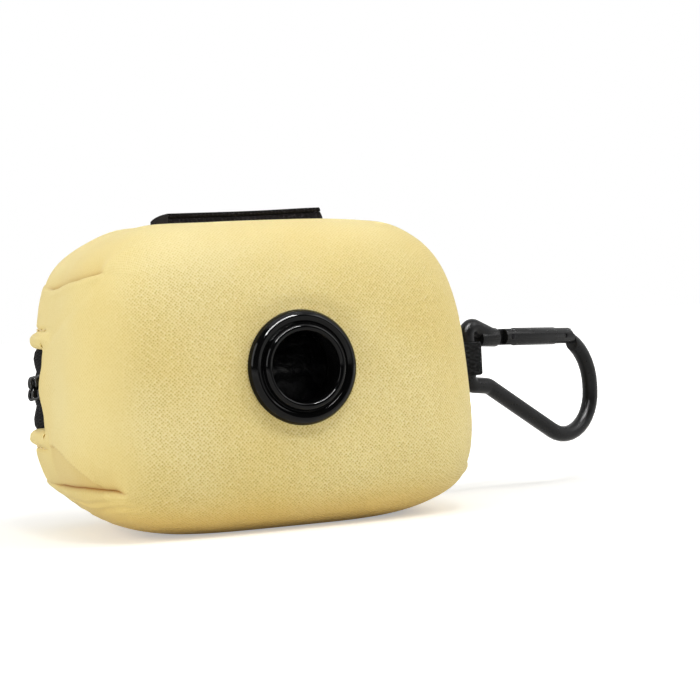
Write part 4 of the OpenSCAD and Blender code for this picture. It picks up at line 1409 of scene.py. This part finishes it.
# The skin is radius(x, angle) with slow sines for crumples. An end is a disc whose height follows a spiral:
# depth * cos(share of the way in * windings * full turn + angle).
def makeBagRoll():
    half, outer, windings = roll["half"], roll["outer"], roll["windings"]
    step = roll["endStep"]
    middle = np.linspace(2 * step - half, half - 2 * step, 56)
    ends = np.linspace(half - step, half, 5)
    angle = np.arange(roll["sides"]) * tau / roll["sides"]
    x, a = np.meshgrid(np.r_[-ends[::-1], middle, ends], angle, indexing="ij")
    crumple = (np.sin(0.55 * x + 3 * np.sin(2 * a)) * np.sin(3 * a + 0.21 * x) + 0.6 * np.sin(1.3 * x + 5 * a)
               + 0.5 * np.sin(9 * a + 0.8 * np.sin(0.5 * x)))
    inFromEnd = smoothStep(0.0, 2.0, half - np.abs(x))
    swing = (a - roll["looseFrom"]) % tau
    loose = roll["looseLift"] * smoothStep(roll["looseRun"], 0.0, swing) * (0.75 + 0.25 * np.sin(0.4 * x + 1.0))
    radius = outer - 0.6 + (0.25 + roll["crumple"] * crumple + loose) * inFromEnd
    layers = [np.stack([x, radius * np.cos(a), roll["z"] + radius * np.sin(a)], -1)]
    rings = np.linspace(0, 1, 4 * windings + 1)[1:, None]
    spiral = (outer - 0.6) + (roll["inner"] - outer + 0.6) * rings
    for sign in (1, -1):
        relief = roll["windingDepth"] * (np.cos(rings * windings * tau + angle * sign) - 1) * (rings < 0.995)
        disc = [sign * (half + relief), spiral * np.cos(angle), roll["z"] + spiral * np.sin(angle)]
        layers.append(np.stack(disc, -1)[::sign])
    ring = np.concatenate(layers)
    faces = gridFaces(len(ring), len(angle), closeColumns=True, closeRows=True)
    uv = np.stack(np.broadcast_arrays(np.arange(len(ring))[:, None], angle * outer), -1).reshape(-1, 2)
    return sealNormals(putMesh("bagRoll", ring.reshape(-1, 3), faces, uv=uv))


bagRoll = makeBagRoll()
smoothByAngle(bagRoll, 60)
settle(bagRoll, "roll", "bag_roll", bagFilm)
print("bag roll", len(bagRoll.data.polygons))


# Each cast or turned part: node, name, rounding of its edges, slot, body and material.
softened = [
    ("zipper_slider", "zipSlider", 0.16, "zipper_metal", "slider", zipEnamel),
    ("zipper_pull", "zipPull", 0.18, "zipper_metal", "pull", zipEnamel),
    ("zipper_top_stops", "zipStops", 0.1, "zipper_metal", "pouch", zipEnamel),
    ("grommet_washer", "grommetBack", 0.1, "grommet", "pouch", grommetGloss),
    ("carabiner_frame", "carabinerFrame", 0.12, "carabiner", "carabiner", carabinerPaint),
    ("carabiner_gate", "carabinerGate", 0.12, "carabiner", "gate", carabinerPaint),
    ("gate_rivet", "gateRivet", 0.06, "rivet", "gate", rivetSteel),
    ("gate_latch_pin", "latchPin", 0.06, "rivet", "gate", carabinerPaint),
    ("gate_spring", "gateSpring", 0.0, "spring_steel", "gate", springSteel),
    ("gate_plunger", "gatePlunger", 0.06, "spring_steel", "gate", springSteel),
    ("roll_core", "rollCore", 0.12, "cardboard", "roll", kraftPaper),
]


# A node's own solid with merged corners, flat faces joined, and a small rounding on its edges.
def softenedCopy(node, name, rounded, slotName, body, material):
    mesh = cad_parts[node].data.copy()
    mesh.name = name
    piece = bpy.data.objects.new(name, mesh)
    scene.collection.objects.link(piece)
    sealNormals(piece, nearest=2e-6, flatter=1.5)
    mesh.polygons.foreach_set("use_smooth", [True] * len(mesh.polygons))
    if rounded:
        bevel = piece.modifiers.new("edges", "BEVEL")
        bevel.width = rounded * mm
        bevel.segments = 3
        bevel.limit_method = "ANGLE"
        bevel.angle_limit = math.radians(32)
        bevel.use_clamp_overlap = True
        applyModifiers(piece)
    smoothByAngle(piece, 34)
    settle(piece, body, node, material)
    return len(piece.data.polygons)


print("cast parts", sum(softenedCopy(*row) for row in softened))


# A white sweep: lit like the object close by, and glowing white further off, to meet the white world.
studio = {
    "floorColor": (0.88, 0.87, 0.84),
    "floorHalf": 3000.0,        # millimetres
    "glowNear": 0.38,
    "glowFar": 1.0,
    "glowFrom": 0.1,            # metres from the object
    "glowTo": 0.45,
    "worldLight": 0.34,
    "lamps": [                  # name, place and size in metres, and power in watts
        ("keyLamp", (-0.03, -0.58, 0.86), 0.17, 0.075, 1.25),
        ("leftLamp", (-0.95, -0.05, 0.42), 0.5, 0.6, 4.0),
        ("rightLamp", (0.68, -0.38, 0.62), 0.45, 0.6, 3.1),
        ("topLamp", (0.0, -0.22, 1.0), 0.8, 0.7, 2.25),
        ("fillLamp", (-0.25, -0.95, 0.04), 0.6, 0.12, 0.55),
    ],
    "notMirrored": "fillLamp",
    "aim": (0.0, 0.0, 0.03),
    "screenTurn": (-193.2, -43.2),  # the screen and the box are in degrees and millimetres
    "screenRise": (3.0, 62.0),
    "screenReach": 2200.0,
    "boxAt": (-80.0, -500.0, 810.0),
    "boxHalf": (-320.0, -105.0, -95.0),
    "boxTall": 100.0,
    "boxGlow": 13.0,
    "boxRim": 160.0,
    "rimAcross": (0.86, 0.92),  # where the rim begins, as a share of the box's half width
    "rimUp": (0.62, 0.76),
}


# Strength of white: 1 for rays that show the background, straight or mirrored, and a share for the rest.
def backgroundStrength(tree, share):
    rays = put(tree, "ShaderNodeLightPath").outputs
    seen = sums(tree, "ADD", rays["Is Camera Ray"], rays["Is Glossy Ray"])
    seen = sums(tree, "MINIMUM", sums(tree, "ADD", seen, rays["Is Transmission Ray"]), 1.0)
    return timesPlus(tree, seen, 1.0 - share, share)


def makeFloor():
    corners = np.array([[-1, -1, 0], [1, -1, 0], [1, 1, 0], [-1, 1, 0]]) * studio["floorHalf"]
    floor = putMesh("floor", corners, [[0, 1, 2, 3]])
    material, tree, shader = newMaterial("floorWhite", 0.9, specular=0.0)
    away = put(tree, "ShaderNodeVectorMath", {0: onObject(tree)}, operation="LENGTH").outputs["Value"]
    far = stepped(tree, away, studio["glowFrom"], studio["glowTo"])
    white = blendColors(tree, far, (studio["glowNear"],) * 3, (studio["glowFar"],) * 3)
    white = blendColors(tree, backgroundStrength(tree, 0.0), (0.0, 0.0, 0.0), white)
    tree.links.new(white, shader.inputs["Emission Color"])
    shader.inputs["Emission Strength"].default_value = 1.0
    shader.inputs["Base Color"].default_value = (*studio["floorColor"], 1)
    dress(floor, material)


def makeLamp(name, place, width, height, power):
    light = bpy.data.lights.new(name, "AREA")
    light.shape = "RECTANGLE"
    light.size = width
    light.size_y = height
    light.energy = power
    lamp = bpy.data.objects.new(name, light)
    scene.collection.objects.link(lamp)
    lamp.location = place
    lamp.visible_glossy = name != studio["notMirrored"]
    lamp.rotation_euler = (Vector(studio["aim"]) - Vector(place)).to_track_quat("-Z", "Y").to_euler()


# The world is white where it is seen, straight or mirrored, and gives a softer light.
def makeWorld():
    world = bpy.data.worlds.new("studio")
    scene.world = world
    world.use_nodes = True
    tree = world.node_tree
    background = tree.nodes["Background"]
    background.inputs["Color"].default_value = (1, 1, 1, 1)
    tree.links.new(backgroundStrength(tree, studio["worldLight"]), background.inputs["Strength"])


# A stage piece that shows only in reflections and throws no shadow.
def onlyMirrored(piece, material):
    dress(piece, material)
    piece.visible_camera = False
    piece.visible_diffuse = False
    piece.visible_transmission = False
    piece.visible_shadow = False


# A dark screen, part of a sphere behind the camera, keeps black gloss black.
def makeScreen():
    turn = np.radians(np.linspace(*studio["screenTurn"], 25))
    rise = np.radians(np.linspace(*studio["screenRise"], 11))
    t, r = np.meshgrid(turn, rise, indexing="ij")
    points = studio["screenReach"] * np.stack([np.cos(t) * np.cos(r), np.sin(t) * np.cos(r), np.sin(r)], -1)
    screen = putMesh("darkScreen", points.reshape(-1, 3), gridFaces(*t.shape))
    material, tree, shader = newMaterial("screenCloth", 1.0, specular=0.0)
    shader.inputs["Base Color"].default_value = (0.01, 0.01, 0.01, 1)
    onlyMirrored(screen, material)


# A long light box, brighter along its rim, draws the streaks on the black gloss.
def makeLightBox():
    centre, half = Vector(studio["boxAt"]), Vector(studio["boxHalf"])
    tall = half.cross(centre - Vector(studio["aim"]) * 1000.0).normalized() * studio["boxTall"]
    signs = np.array([[-1, -1], [1, -1], [1, 1], [-1, 1]])
    corners = [centre + half * int(along) + tall * int(up) for along, up in signs]
    box = putMesh("lightBox", corners, [[0, 1, 2, 3]], uv=signs)
    material, tree, shader = newMaterial("boxLight", 1.0, specular=0.0)
    place = axes(tree, onCloth(tree))
    across = stepped(tree, sums(tree, "ABSOLUTE", place[0]), *studio["rimAcross"])
    along = stepped(tree, sums(tree, "ABSOLUTE", place[1]), *studio["rimUp"])
    rim = sums(tree, "MAXIMUM", across, along)
    glow = timesPlus(tree, rim, studio["boxRim"] - studio["boxGlow"], studio["boxGlow"])
    tree.links.new(glow, shader.inputs["Emission Strength"])
    shader.inputs["Emission Color"].default_value = (1, 1, 1, 1)
    shader.inputs["Base Color"].default_value = (0, 0, 0, 1)
    onlyMirrored(box, material)


makeFloor()
for lampRow in studio["lamps"]:
    makeLamp(*lampRow)
makeWorld()
makeScreen()
makeLightBox()
scene.view_settings.view_transform = "Standard"
print("studio ready")
